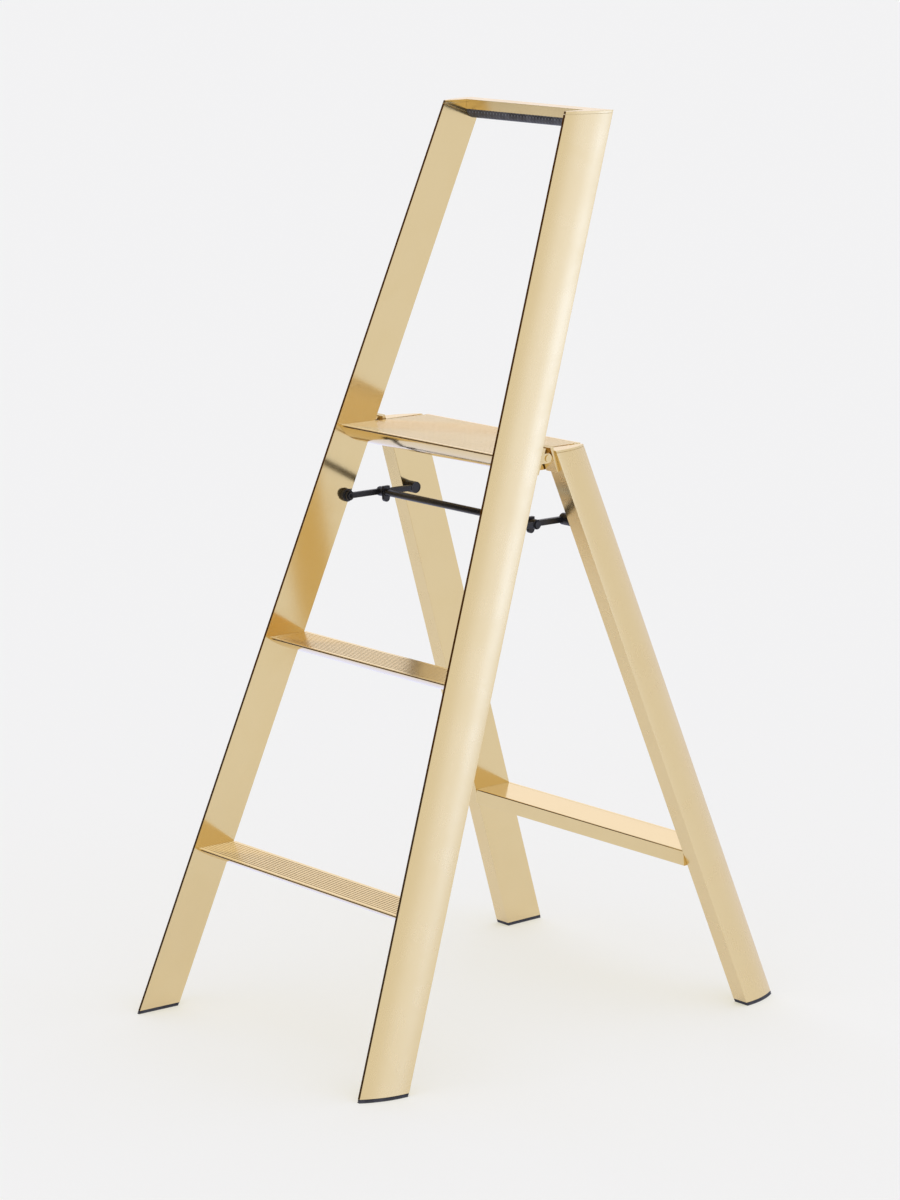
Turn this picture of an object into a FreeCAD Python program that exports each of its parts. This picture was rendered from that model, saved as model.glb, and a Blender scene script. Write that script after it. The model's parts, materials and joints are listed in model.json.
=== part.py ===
import FreeCAD, Part
import math
import os
import Sketcher
from FreeCAD import Placement, Rotation, Vector

# A folding step ladder of anodised aluminium: two treads, a platform and a hand hoop on the front frame,
# and a rear frame that folds against it, held open by a pair of toggle stays.
# The floor is z = 0. The climber stands at -Y and faces +Y. The ladder is symmetric about x = 0, and its
# two frames lean against each other about the plane y = 0.

# Driving dimensions in millimetres, and one angle in degrees.
DIMENSIONS = (
    ("overall_height", 1300.0, "floor to the top of the hand hoop"),
    ("half_spread", 387.0, "from the middle plane to the outermost edge of a foot, ladder open"),
    ("lean_angle", 20.0, "lean of either frame from the vertical"),
    ("floor_half_width", 253.5, "middle to the rails' inner faces at the floor"),
    ("top_half_width", 128.0, "middle to the rails' inner faces at the top"),
    ("leg_set_out", 2.2, "how much further out the legs stand than the rails"),
    ("rail_depth", 65.0, "depth of a rail or leg, square to its length"),
    ("rail_edge", 4.5, "thickness of a rail's thin edge"),
    ("rail_thickness", 27.5, "thickness of a rail's thick edge"),
    ("rail_bow", 134.0, "radius of a rail's outer face"),
    ("wall_thickness", 1.7, "wall of the extrusions"),
    ("hollow_start", 14.0, "where a rail's hollow begins, behind the thin edge"),
    ("hollow_mouth", 8.6, "width of the hollow where it begins"),
    ("foot_height", 5.0, "rubber under a rail"),
    ("plug_height", 25.0, "how far a foot reaches into a rail"),
    ("cap_plug", 18.0, "how far a cap or a top corner reaches into a rail"),
    ("foot_inset", 0.4, "how far a foot's sides stand back from the rail's"),
    ("plug_play", 0.25, "play round a plug"),
    ("joint_gap", 0.15, "gap between a rail and what meets it"),
    ("cap_height", 4.0, "thickness of the top corner's flange"),
    ("leg_cap_height", 3.0, "thickness of a leg's cap"),
    ("corner_seam", 0.8, "open seam under the top corner"),
    ("corner_inlay", 4.0, "how deep the top corner is let into the rail's inner face"),
    ("lug_reach", 18.0, "how far a corner's lug reaches into the top bar"),
    ("lug_play", 0.3, "play round that lug"),
    ("first_step", 237.5, "height of the lower tread"),
    ("step_rise", 302.0, "from one tread to the next"),
    ("nose_setback", 6.0, "from a rail's front edge back to a tread's nose"),
    ("nose_height", 2.5, "height of a tread's nose"),
    ("tread_depth", 66.5, "nose to rear edge of a tread"),
    ("tread_thickness", 27.5, "height of a tread's rear edge"),
    ("tread_hollow_start", 16.0, "where a tread's hollow begins behind its nose"),
    ("tread_hollow_height", 6.5, "height of a tread's hollow where it begins"),
    ("platform_depth", 160.5, "nose to rear edge of the platform"),
    ("platform_thickness", 30.0, "height of the platform's rear edge"),
    ("platform_curve", 54.0, "run of the curve under the platform's nose"),
    ("platform_bow", 67.0, "radius of that curve"),
    ("rib_pitch", 5.6, "spacing of the grooves in a tread"),
    ("groove_width", 2.2, "width of a groove"),
    ("groove_depth", 0.5, "depth of a groove"),
    ("groove_slope", 0.45, "how far each wall of a groove slopes in"),
    ("smooth_strip", 7.0, "plain strip behind a nose, before the first groove"),
    ("insert_start", 38.0, "nose to the front of the insert in a tread's end"),
    ("insert_depth", 26.0, "depth of that insert"),
    ("insert_height", 13.0, "height of that insert"),
    ("insert_length", 22.0, "length of that insert"),
    ("insert_recess", 2.0, "from the rail back to the insert"),
    ("insert_play", 0.3, "gap between an insert and the wall above it"),
    ("screw_radius", 2.4, "screws that hold the treads"),
    ("screw_length", 14.0, "how far they reach past the rail's inner face"),
    ("screw_play", 0.1, "play of a screw in its hole, at the radius"),
    ("screw_setback", 4.0, "from an insert's front to the first screw"),
    ("screw_spacing", 11.0, "between the two screws of an insert"),
    ("screw_head", 4.1, "radius of a screw's head"),
    ("screw_head_height", 2.5, "height of a screw's head"),
    ("screw_head_play", 0.6, "from the rail's wall to the head"),
    ("foot_screw_radius", 2.6, "screw that holds a foot"),
    ("foot_screw_length", 9.6, "its length"),
    ("foot_screw_height", 16.25, "its height above the floor"),
    ("foot_screw_back", 43.0, "from the rail's front edge back to it"),
    ("foot_screw_sink", 0.4, "how far its head lies under the inner face"),
    ("crossbar_height", 238.5, "top of the rear crossbar"),
    ("crossbar_front", 22.4, "height of its front face"),
    ("crossbar_setback", 2.0, "from the legs' front faces back to its front face"),
    ("crossbar_depth", 68.5, "its depth"),
    ("crossbar_hollow_rear", 5.5, "depth of its hollow at the thin rear end"),
    ("crossbar_insert_recess", 3.0, "from the leg back to its insert"),
    ("crossbar_insert_front", 1.0, "gap between its insert and its front wall"),
    ("crossbar_insert_height", 12.0, "height of its insert"),
    ("crossbar_screw_setback", 7.0, "from that insert's front to the first screw"),
    ("crossbar_screw_spacing", 12.0, "between its two screws"),
    ("bar_depth", 30.8, "depth of the hoop's top bar"),
    ("bar_height", 14.0, "height of that bar"),
    ("grip_inset", 2.0, "how far the grip stands back from the bar's faces"),
    ("grip_side", 5.0, "straight side of the grip"),
    ("grip_bow", 15.0, "radius of its underside"),
    ("hinge_height", 832.0, "height of the hinge axis"),
    ("hinge_inner", 173.5, "middle to the inner face of a hinge"),
    ("hinge_width", 23.0, "width of a hinge along its pin"),
    ("hinge_eye", 7.0, "outer radius of a hinge eye"),
    ("hinge_plate", 5.5, "thickness of a hinge's plate"),
    ("hinge_plate_low", 812.0, "height of the plate's lower end"),
    ("hinge_plate_length", 38.0, "length of the plate along the rail"),
    ("hinge_pin_radius", 3.0, "hinge pin"),
    ("hinge_lug", 9.6, "width of the leg's lug between the bracket's ears"),
    ("hinge_ear_play", 0.3, "gap between an ear and the lug"),
    ("hinge_seat", 0.05, "gap between a hinge plate and the rail or leg it is held to"),
    ("pin_head", 5.0, "radius of the hinge pin's heads"),
    ("pin_head_height", 1.5, "their thickness"),
    ("pin_head_play", 0.1, "gap between a head and its ear"),
    ("bush_radius", 4.5, "outer radius of the bush in the lug"),
    ("running_play", 0.05, "play of a pin in its hole, at the radius"),
    ("stay_height", 736.0, "height of the straight stays"),
    ("stay_reach", 58.5, "middle plane to either anchor of a stay"),
    ("stay_thickness", 5.6, "thickness of a stay's link"),
    ("stay_gap", 0.3, "gap between one layer of a stay and the next"),
    ("stay_outer", 174.8, "middle to the outer face of the front links"),
    ("stay_bar", 9.0, "height of a link"),
    ("stay_eye", 7.0, "radius of a link's eye"),
    ("stay_pin", 3.0, "radius of the stays' pins"),
    ("stay_head", 5.1, "radius of the heads and clips on those pins"),
    ("stay_head_height", 1.5, "thickness of a head or clip"),
    ("stay_button", 6.5, "radius of the raised button on a rear link"),
    ("stay_button_height", 1.2, "how far it stands out"),
    ("knee_plug", 18.0, "how far a knee pin reaches into the cross tube"),
    ("bar_end_play", 0.1, "gap between the cross tube and a knee ear"),
    ("anchor_radius", 9.5, "disc on the rail that a stay starts from"),
    ("boss_radius", 8.5, "boss on the leg that a stay ends at"),
    ("lock_bar_radius", 5.1, "cross tube that joins the two knees"),
    ("lock_bar_wall", 1.2, "its wall"),
    ("ear_width", 11.0, "knee ear that holds the cross tube"),
    ("ear_above", 9.5, "knee ear above the axis"),
    ("ear_below", 8.5, "knee ear's straight part below the axis"),
)

SIDES = (("left", -1), ("right", 1))
FRONT, REAR = 1, -1

doc = FreeCAD.newDocument("folding_step_ladder")
sheet = doc.addObject("Spreadsheet::Sheet", "Dims")
nodes = []


class Size:
    """A length or an angle: its value, and the expression that ties it to the sheet."""

    def __init__(self, value, text=None):
        self.value = float(value)
        self.text = text or repr(float(value))

    def __add__(self, other):
        other = as_size(other)
        return Size(self.value + other.value, "(%s + %s)" % (self.text, other.text))

    def __sub__(self, other):
        other = as_size(other)
        return Size(self.value - other.value, "(%s - %s)" % (self.text, other.text))

    def __mul__(self, other):
        other = as_size(other)
        return Size(self.value * other.value, "(%s * %s)" % (self.text, other.text))

    def __truediv__(self, other):
        other = as_size(other)
        return Size(self.value / other.value, "(%s / %s)" % (self.text, other.text))

    __radd__ = __add__
    __rmul__ = __mul__

    def __neg__(self):
        return Size(-self.value, "(0 - %s)" % self.text)


def as_size(amount):
    return amount if isinstance(amount, Size) else Size(amount)


def sine(angle):
    return Size(math.sin(math.radians(angle.value)), "sin(%s)" % angle.text)


def cosine(angle):
    return Size(math.cos(math.radians(angle.value)), "cos(%s)" % angle.text)


def fill_sheet():
    sheet.set("A1", "dimension")
    sheet.set("B1", "value")
    sheet.set("C1", "meaning")
    for row, (alias, value, meaning) in enumerate(DIMENSIONS, start=2):
        sheet.set("A%d" % row, alias)
        sheet.set("B%d" % row, str(value))
        sheet.set("C%d" % row, meaning)
        sheet.setAlias("B%d" % row, alias)
    doc.recompute()
    return {alias: Size(value, "Dims." + alias) for alias, value, meaning in DIMENSIONS}


dim = fill_sheet()

# Shares of the driving dimensions that many pieces use. OVERCUT is how far a cutter runs past what it
# cuts, and ROOT is how far one part of a piece runs into another that it is one with.
NONE = Size(0.0, "0")
LEAN = dim["lean_angle"]
RAKE = sine(LEAN) / cosine(LEAN)
TAPER = (dim["floor_half_width"] - dim["top_half_width"]) / dim["overall_height"]
DRIFT = TAPER * sine(LEAN) * cosine(LEAN)
LEVEL_DEPTH = dim["rail_depth"] / cosine(LEAN)
WALL = dim["wall_thickness"]
GAP = dim["joint_gap"]
FULL_WIDTH = dim["floor_half_width"] * 2
OVERCUT = Size(1.0)
ROOT = Size(2.0)


def rail_front(height):
    """Where the rails' front edges are, at a height."""
    return RAKE * height - dim["half_spread"]


def leg_front(height):
    """Where the legs' front faces are, at a height."""
    return dim["half_spread"] - LEVEL_DEPTH - RAKE * height


def inner_face(y, height):
    """Half the clear width between the rails, at a place on their inner faces."""
    along = (y + dim["half_spread"] - RAKE * height) * DRIFT
    return dim["floor_half_width"] - TAPER * height - along


# ---- drawing helpers ----

def bind(feature, **sizes):
    """Give a feature its sizes, each tied to the sheet."""
    for prop, size in sizes.items():
        size = as_size(size)
        setattr(feature, prop, size.value)
        feature.setExpression(prop, size.text)
    return feature


def place(feature, x, y, z, rotation=None):
    """Put a feature at a point that is tied to the sheet."""
    point = [as_size(size) for size in (x, y, z)]
    feature.Placement = Placement(Vector(*[size.value for size in point]), rotation or Rotation())
    for axis, size in zip("xyz", point):
        feature.setExpression("Placement.Base." + axis, size.text)
    return feature


def new_body(label, x=NONE, y=NONE, z=NONE):
    body = doc.addObject("PartDesign::Body", label)
    body.Label = label
    return place(body, x, y, z)


def origin_feature(body, role):
    return [part for part in body.Origin.OriginFeatures if part.Role == role][0]


def add_edge(sketch, start, end, bow):
    """Add a line, or an arc when bow is a radius. A positive bow bulges to the right of the way it runs."""
    if bow is None:
        return sketch.addGeometry(Part.LineSegment(start, end)), 1
    middle = (start + end) * 0.5
    run = end - start
    radius = abs(bow.value)
    rise = radius - math.sqrt(radius ** 2 - (run.Length / 2) ** 2)
    outward = Vector(run.y, -run.x, 0).normalize() * math.copysign(rise, bow.value)
    edge = sketch.addGeometry(Part.Arc(start, middle + outward, end))
    return edge, 1 if (sketch.getPoint(edge, 1) - start).Length < 1e-6 else 2


def fix(sketch, kind, size, *ends):
    index = sketch.addConstraint(Sketcher.Constraint(kind, *ends, size.value))
    sketch.setExpression("Constraints[%d]" % index, size.text)


def draw_wire(sketch, corners):
    """Draw a closed outline. A corner is (x, y) or (x, y, bow of the edge that leaves it)."""
    points = [Vector(as_size(corner[0]).value, as_size(corner[1]).value, 0) for corner in corners]
    edges = []
    for index, corner in enumerate(corners):
        bow = corner[2] if len(corner) > 2 else None
        edges.append(add_edge(sketch, points[index], points[(index + 1) % len(points)], bow))
    for index, (edge, first) in enumerate(edges):
        following, first_of_next = edges[(index + 1) % len(edges)]
        sketch.addConstraint(Sketcher.Constraint("Coincident", edge, 3 - first, following, first_of_next))
        for kind, axis, size in (("DistanceX", -2, corners[index][0]), ("DistanceY", -1, corners[index][1])):
            size = as_size(size)
            if size.value == 0:
                sketch.addConstraint(Sketcher.Constraint("PointOnObject", edge, first, axis))
            else:
                fix(sketch, kind, size, -1, 1, edge, first)
        if len(corners[index]) > 2:
            radius = corners[index][2]
            fix(sketch, "Radius", radius if radius.value > 0 else -radius, edge)


def new_sketch(body, plane, name, *outlines):
    sketch = body.newObject("Sketcher::SketchObject", name)
    sketch.AttachmentSupport = [(origin_feature(body, plane), "")]
    sketch.MapMode = "FlatFace"
    for corners in outlines:
        draw_wire(sketch, corners)
    return sketch


def pad(body, sketch, length, direction=None, middle=False):
    feature = body.newObject("PartDesign::Pad", sketch.Name + "_pad")
    feature.Profile = sketch
    if middle:
        feature.SideType = "Symmetric"
    if direction:
        feature.UseCustomVector = True
        feature.AlongSketchNormal = True
        feature.Direction = Vector(*[size.value for size in direction])
        for axis, size in zip("xyz", direction):
            feature.setExpression("Direction." + axis, size.text)
    return bind(feature, Length=length)


def combine(kind, label, base, tool):
    feature = doc.addObject("Part::" + kind, label)
    feature.Label = label
    feature.Base = base
    feature.Tool = tool
    return feature


def join(label, parts):
    """Fuse parts into one solid; a single part stays as it is."""
    if len(parts) == 1:
        return parts[0]
    feature = doc.addObject("Part::MultiFuse", label)
    feature.Label = label
    feature.Shapes = parts
    return feature


def group(label, parts):
    """Keep separate solids together, such as the screws of one side."""
    feature = doc.addObject("Part::Compound", label)
    feature.Label = label
    feature.Links = parts
    return feature


def block(label, side, near, far, y, z, width, height, rotation=None):
    """A block from near to far off the middle plane, on one side."""
    feature = doc.addObject("Part::Box", label)
    bind(feature, Length=far - near, Width=width, Height=height)
    return place(feature, near if side > 0 else -far, y, z, rotation)


def rod(label, side, near, far, y, z, radius):
    """A round rod along X from near to far off the middle plane, on one side."""
    feature = doc.addObject("Part::Cylinder", label)
    bind(feature, Radius=radius, Height=far - near)
    return place(feature, near if side > 0 else -far, y, z, Rotation(Vector(0, 1, 0), 90))


def keep(feature, label=None):
    """Mark a feature as one of the ladder's own pieces."""
    feature.Label = label or feature.Label
    nodes.append(feature)
    return feature


# ---- rails and legs ----

def lens(side, facing, inset=NONE):
    """The level section of a rail: flat inner face, bowed outer face, thin at the free edge."""
    hand = side * facing
    depth = LEVEL_DEPTH - inset
    return [
        ((inset - DRIFT * inset) * side, inset * facing),
        (dim["rail_edge"] * side, inset * facing, dim["rail_bow"] * hand),
        ((dim["rail_thickness"] - DRIFT * depth - inset) * side, depth * facing),
        ((inset - DRIFT * depth) * side, depth * facing),
    ]


def lens_hollow(side, facing, play=NONE):
    """The hollow inside that section, or a plug that fits it with some play."""
    start = dim["hollow_start"] + play
    end = LEVEL_DEPTH - WALL - play
    wall = WALL + play
    return [
        ((wall - DRIFT * start) * side, start * facing),
        ((dim["hollow_mouth"] - play) * side, start * facing, (dim["rail_bow"] - wall) * (side * facing)),
        ((dim["rail_thickness"] - DRIFT * LEVEL_DEPTH - wall) * side, end * facing),
        ((wall - DRIFT * end) * side, end * facing),
    ]


def leaning_prism(label, side, facing, low, high, *outlines):
    """A piece of a rail or leg between two levels, leaning with its frame."""
    set_out = NONE if facing == FRONT else dim["leg_set_out"]
    body = new_body(
        label,
        (dim["floor_half_width"] + set_out - TAPER * low) * side,
        (RAKE * low - dim["half_spread"]) * facing,
        low,
    )
    sketch = new_sketch(body, "XY_Plane", label + "_section", *outlines)
    pad(body, sketch, high - low, direction=(TAPER * -side, RAKE * facing, Size(1.0)))
    return body


def between(label, facing):
    """The space between the two rails or the two legs, which trims what spans it."""
    set_out = NONE if facing == FRONT else dim["leg_set_out"]
    past_the_top = 1.1
    reach = dim["overall_height"] * past_the_top
    low_half = dim["floor_half_width"] + set_out - GAP
    high_half = low_half - TAPER * reach
    outside = dim["rail_depth"]
    inside = dim["platform_depth"] * 1.5
    wedge = doc.addObject("Part::Wedge", label)
    bind(
        wedge,
        Xmin=-low_half, Xmax=low_half, X2min=-high_half, X2max=high_half,
        Ymin=NONE, Ymax=reach / cosine(LEAN),
        Zmin=-inside if facing == FRONT else -outside, Zmax=outside if facing == FRONT else inside,
        Z2min=-inside if facing == FRONT else -outside, Z2max=outside if facing == FRONT else inside,
    )
    turn = Rotation(Vector(1, 0, 0), 90 - LEAN.value * facing)
    return place(wedge, NONE, -dim["half_spread"] * facing, NONE, turn)


def make_foot(label, side, facing):
    """A rubber foot: a tread on the floor and a plug up the hollow of the rail."""
    top = dim["foot_height"]
    sole = leaning_prism(label + "_sole", side, facing, NONE, top, lens(side, facing, dim["foot_inset"]))
    plug = leaning_prism(label + "_plug", side, facing, top, top + dim["plug_height"],
                         lens_hollow(side, facing, dim["plug_play"]))
    return join(label + "_rubber", [sole, plug])


# ---- treads ----

def tread_outline(depth, thickness):
    return [
        (NONE, -dim["nose_height"]),
        (NONE, NONE),
        (depth, NONE),
        (depth, -thickness, -dim["rail_bow"]),
    ]


def tread_hollow(depth, thickness):
    start = dim["tread_hollow_start"]
    return [
        (start, -WALL - dim["tread_hollow_height"]),
        (start, -WALL),
        (depth - WALL, -WALL),
        (depth - WALL, WALL - thickness, WALL - dim["rail_bow"]),
    ]


def platform_outline():
    return [
        (NONE, -dim["nose_height"]),
        (NONE, NONE),
        (dim["platform_depth"], NONE),
        (dim["platform_depth"], -dim["platform_thickness"]),
        (dim["platform_curve"], -dim["platform_thickness"], -dim["platform_bow"]),
    ]


def platform_hollow():
    start = dim["tread_hollow_start"]
    floor = WALL - dim["platform_thickness"]
    return [
        (start, -WALL - dim["tread_hollow_height"]),
        (start, -WALL),
        (dim["platform_depth"] - WALL, -WALL),
        (dim["platform_depth"] - WALL, floor),
        (dim["platform_curve"], floor, WALL - dim["platform_bow"]),
    ]


def cut_grooves(body, depth):
    """Cut the anti-slip grooves with sloping walls in the top, one by one along the depth."""
    start = dim["smooth_strip"]
    end = start + dim["groove_width"]
    sketch = new_sketch(body, "YZ_Plane", body.Name + "_groove", [
        (start + dim["groove_slope"], -dim["groove_depth"]),
        (end - dim["groove_slope"], -dim["groove_depth"]),
        (end, NONE),
        (end, OVERCUT),
        (start, OVERCUT),
        (start, NONE),
    ])
    groove = body.newObject("PartDesign::Pocket", body.Name + "_first_groove")
    groove.Profile = sketch
    groove.SideType = "Symmetric"
    bind(groove, Length=FULL_WIDTH)
    pattern = body.newObject("PartDesign::LinearPattern", body.Name + "_grooves")
    pattern.Originals = [groove]
    pattern.Direction = (sketch, ["H_Axis"])
    pattern.Mode = "Spacing"
    pattern.Occurrences = int((depth.value - 2 * start.value) / dim["rib_pitch"].value) + 1
    bind(pattern, Offset=dim["rib_pitch"])
    body.Tip = pattern


def make_tread(label, height, depth, outlines, space):
    nose = rail_front(height) + dim["nose_setback"]
    body = new_body(label + "_bar", NONE, nose, height)
    sketch = new_sketch(body, "YZ_Plane", label + "_section", *outlines)
    pad(body, sketch, FULL_WIDTH, middle=True)
    cut_grooves(body, depth)
    keep(combine("Common", label, body, space))


def screw_places(height):
    """The two screws of one tread end: the rail's face, y and z, behind the nose and under the tread."""
    nose = rail_front(height) + dim["nose_setback"]
    drop = height - WALL - dim["insert_play"] - dim["insert_height"] / 2
    first = nose + dim["insert_start"] + dim["screw_setback"]
    return [(inner_face(y, drop), y, drop) for y in (first, first + dim["screw_spacing"])]


def make_screws(label, side, places):
    """Screws that start inside the rail and bite into the insert, and the drills that clear their way."""
    screws = []
    drills = []
    radius = dim["screw_radius"]
    for index, (face, y, z) in enumerate(places):
        name = "%s_%d" % (label, index)
        tip = face - dim["screw_length"]
        seat = face + WALL + dim["screw_head_play"]
        shank = rod(name + "_shank", side, tip, seat + OVERCUT, y, z, radius)
        head = rod(name + "_head", side, seat, seat + dim["screw_head_height"], y, z, dim["screw_head"])
        screws.append(join(name, [shank, head]))
        drills.append(rod(name + "_drill", side, tip - OVERCUT, seat + OVERCUT, y, z,
                          radius + dim["screw_play"]))
    return screws, drills


def make_insert(label, side, height, drills):
    nose = rail_front(height) + dim["nose_setback"]
    y = nose + dim["insert_start"]
    far = inner_face(y + dim["insert_depth"], height) - dim["insert_recess"]
    top = height - WALL - dim["insert_play"]
    solid = block(label + "_block", side, far - dim["insert_length"], far, y, top - dim["insert_height"],
                  dim["insert_depth"], dim["insert_height"])
    keep(combine("Cut", label, solid, join(label + "_drills", drills)))


# ---- front frame ----

def seam_box(label, side, drop):
    """The region above the seam of a top corner, square to the rail."""
    height = dim["overall_height"] - dim["cap_height"]
    face = inner_face(rail_front(height), height)
    margin = dim["cap_height"]
    turn = Rotation(Vector(1, 0, 0), -LEAN.value)
    return block(label, side, face - dim["rail_thickness"] * 0.5, face + dim["corner_inlay"],
                 rail_front(height) - margin * cosine(LEAN) - drop * sine(LEAN),
                 height + margin * sine(LEAN) - drop * cosine(LEAN),
                 dim["rail_depth"] + margin * 2, dim["rail_depth"] * 0.6, turn)


def make_rail(name, side, drills):
    top = dim["overall_height"] - dim["cap_height"]
    shell = leaning_prism("rail_shell_" + name, side, FRONT, dim["foot_height"], top,
                          lens(side, FRONT), lens_hollow(side, FRONT))
    notch = seam_box("rail_notch_" + name, side, dim["corner_seam"])
    keep(combine("Cut", "rail_" + name, shell, join("rail_tools_" + name, drills + [notch])))


def make_top_corner(name, side):
    """The cast corner: a flange over the rail, an inlay in its inner face, a plug and a lug for the bar."""
    top = dim["overall_height"]
    under = top - dim["cap_height"]
    flange = leaning_prism("corner_flange_" + name, side, FRONT, under, top, lens(side, FRONT))
    stock = leaning_prism("corner_stock_" + name, side, FRONT, under - dim["rail_depth"] * 0.5, under,
                          lens(side, FRONT))
    inlay = combine("Common", "corner_inlay_" + name, stock,
                    seam_box("corner_region_" + name, side, NONE))
    plug = leaning_prism("corner_plug_" + name, side, FRONT, under - dim["cap_plug"], under,
                         lens_hollow(side, FRONT, dim["plug_play"]))
    rear = rail_front(top) + LEVEL_DEPTH
    face = inner_face(rear, top)
    wall = WALL + dim["lug_play"]
    lug = block("corner_lug_" + name, side, face - dim["lug_reach"], face + ROOT,
                rear - dim["bar_depth"] + wall, top - dim["bar_height"] + wall,
                dim["bar_depth"] - wall * 2, dim["bar_height"] - wall * 2)
    keep(join("top_corner_" + name, [flange, inlay, plug, lug]))


def make_hoop(space):
    """The bar across the top and the rubber grip under it."""
    top = dim["overall_height"]
    depth = dim["bar_depth"]
    height = dim["bar_height"]
    front = rail_front(top) + LEVEL_DEPTH - depth
    body = new_body("top_bar_stock", NONE, front, top)
    outer = [(NONE, -height), (NONE, NONE), (depth, NONE), (depth, -height)]
    inner = [(WALL, WALL - height), (WALL, -WALL), (depth - WALL, -WALL), (depth - WALL, WALL - height)]
    sketch = new_sketch(body, "YZ_Plane", "top_bar_section", outer, inner)
    pad(body, sketch, FULL_WIDTH, middle=True)
    keep(combine("Common", "top_bar", body, space))

    inset = dim["grip_inset"]
    start = -height - GAP
    low = start - dim["grip_side"]
    grip = new_body("top_grip_stock", NONE, front, top)
    profile = [(inset, start), (depth - inset, start), (depth - inset, low, -dim["grip_bow"]), (inset, low)]
    pad(grip, new_sketch(grip, "YZ_Plane", "top_grip_section", profile), FULL_WIDTH, middle=True)
    keep(combine("Common", "top_grip", grip, space))


def make_front_frame(space):
    heights = [("lower", dim["first_step"]), ("middle", dim["first_step"] + dim["step_rise"]),
               ("platform", dim["first_step"] + dim["step_rise"] * 2)]
    tread = (dim["tread_depth"], dim["tread_thickness"])
    for name, height in heights[:2]:
        make_tread("tread_" + name, height, tread[0], (tread_outline(*tread), tread_hollow(*tread)), space)
    make_tread("platform_deck", heights[2][1], dim["platform_depth"],
               (platform_outline(), platform_hollow()), space)
    foot_screws = []
    for name, side in SIDES:
        all_screws = []
        all_drills = []
        for step, height in heights:
            screws, drills = make_screws("screw_%s_%s" % (step, name), side, screw_places(height))
            make_insert("insert_%s_%s" % (step, name), side, height, drills)
            all_screws += screws
            all_drills += drills
        keep(group("rail_screws_" + name, all_screws))
        rubber = make_foot("rail_foot_" + name, side, FRONT)
        screw, drill = foot_screw("rail_foot_screw_" + name, side, FRONT)
        foot_screws.append(screw)
        keep(combine("Cut", "rail_foot_" + name, rubber, drill))
        make_rail(name, side, all_drills + [drill])
        make_top_corner(name, side)
    keep(group("rail_foot_screws", foot_screws))
    make_hoop(space)


def foot_screw(label, side, facing):
    """A small screw through the inner face that holds a foot's plug."""
    set_out = NONE if facing == FRONT else dim["leg_set_out"]
    height = dim["foot_screw_height"]
    back = dim["foot_screw_back"]
    y = (RAKE * height - dim["half_spread"] + back) * facing
    face = dim["floor_half_width"] + set_out - TAPER * height - DRIFT * back
    near = face + dim["foot_screw_sink"]
    far = near + dim["foot_screw_length"]
    radius = dim["foot_screw_radius"]
    play = dim["screw_play"]
    screw = rod(label, side, near, far, y, height, radius)
    return screw, rod(label + "_drill", side, face - OVERCUT, far + play, y, height, radius + play)


# ---- rear frame ----

def make_crossbar(space):
    height = dim["crossbar_height"]
    depth = dim["crossbar_depth"]
    front = dim["crossbar_front"]
    body = new_body("crossbar_stock", NONE, leg_front(height) + dim["crossbar_setback"], height)
    bow = dim["rail_bow"]
    hollow_end = depth - dim["tread_hollow_start"]
    outer = [(NONE, -front), (NONE, NONE), (depth, NONE), (depth, -dim["nose_height"], -bow)]
    inner = [(WALL, WALL - front), (WALL, -WALL), (hollow_end, -WALL),
             (hollow_end, -dim["crossbar_hollow_rear"], WALL - bow)]
    sketch = new_sketch(body, "YZ_Plane", "crossbar_section", outer, inner)
    pad(body, sketch, FULL_WIDTH, middle=True)
    keep(combine("Common", "rear_crossbar", body, space))


def crossbar_fixings(name, side):
    """Two screws and an insert at one end of the rear crossbar. Gives back the drills for the leg."""
    height = dim["crossbar_height"]
    start = leg_front(height) + dim["crossbar_setback"] + WALL + dim["crossbar_insert_front"]
    tall = dim["crossbar_insert_height"]
    middle = height - WALL - dim["insert_play"] - tall / 2
    places = []
    for index in range(2):
        y = start + dim["crossbar_screw_setback"] + dim["crossbar_screw_spacing"] * index
        back = dim["half_spread"] - RAKE * middle - y
        face = dim["floor_half_width"] + dim["leg_set_out"] - TAPER * middle - DRIFT * back
        places.append((face, y, middle))
    screws, drills = make_screws("crossbar_screw_" + name, side, places)
    far = places[0][0] - dim["crossbar_insert_recess"]
    solid = block("crossbar_block_" + name, side, far - dim["insert_length"], far, start,
                  middle - tall / 2, dim["insert_depth"], tall)
    tool = join("crossbar_insert_drills_" + name, drills)
    keep(combine("Cut", "insert_crossbar_" + name, solid, tool))
    keep(group("leg_screws_" + name, screws))
    return drills


def make_rear_frame(space):
    top = dim["first_step"] + dim["step_rise"] * 2
    under = top - dim["leg_cap_height"]
    foot_screws = []
    for name, side in SIDES:
        rubber = make_foot("leg_foot_" + name, side, REAR)
        screw, drill = foot_screw("leg_foot_screw_" + name, side, REAR)
        foot_screws.append(screw)
        keep(combine("Cut", "leg_foot_" + name, rubber, drill))
        shell = leaning_prism("leg_shell_" + name, side, REAR, dim["foot_height"], under,
                              lens(side, REAR), lens_hollow(side, REAR))
        drills = crossbar_fixings(name, side) + [drill]
        keep(combine("Cut", "leg_" + name, shell, join("leg_tools_" + name, drills)))
        lid = leaning_prism("leg_cap_lid_" + name, side, REAR, under, top, lens(side, REAR))
        plug = leaning_prism("leg_cap_plug_" + name, side, REAR, under - dim["cap_plug"], under,
                             lens_hollow(side, REAR, dim["plug_play"]))
        keep(join("leg_cap_" + name, [lid, plug]))
    keep(group("leg_foot_screws", foot_screws))
    make_crossbar(space)


# ---- hinges between the frames ----

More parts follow.
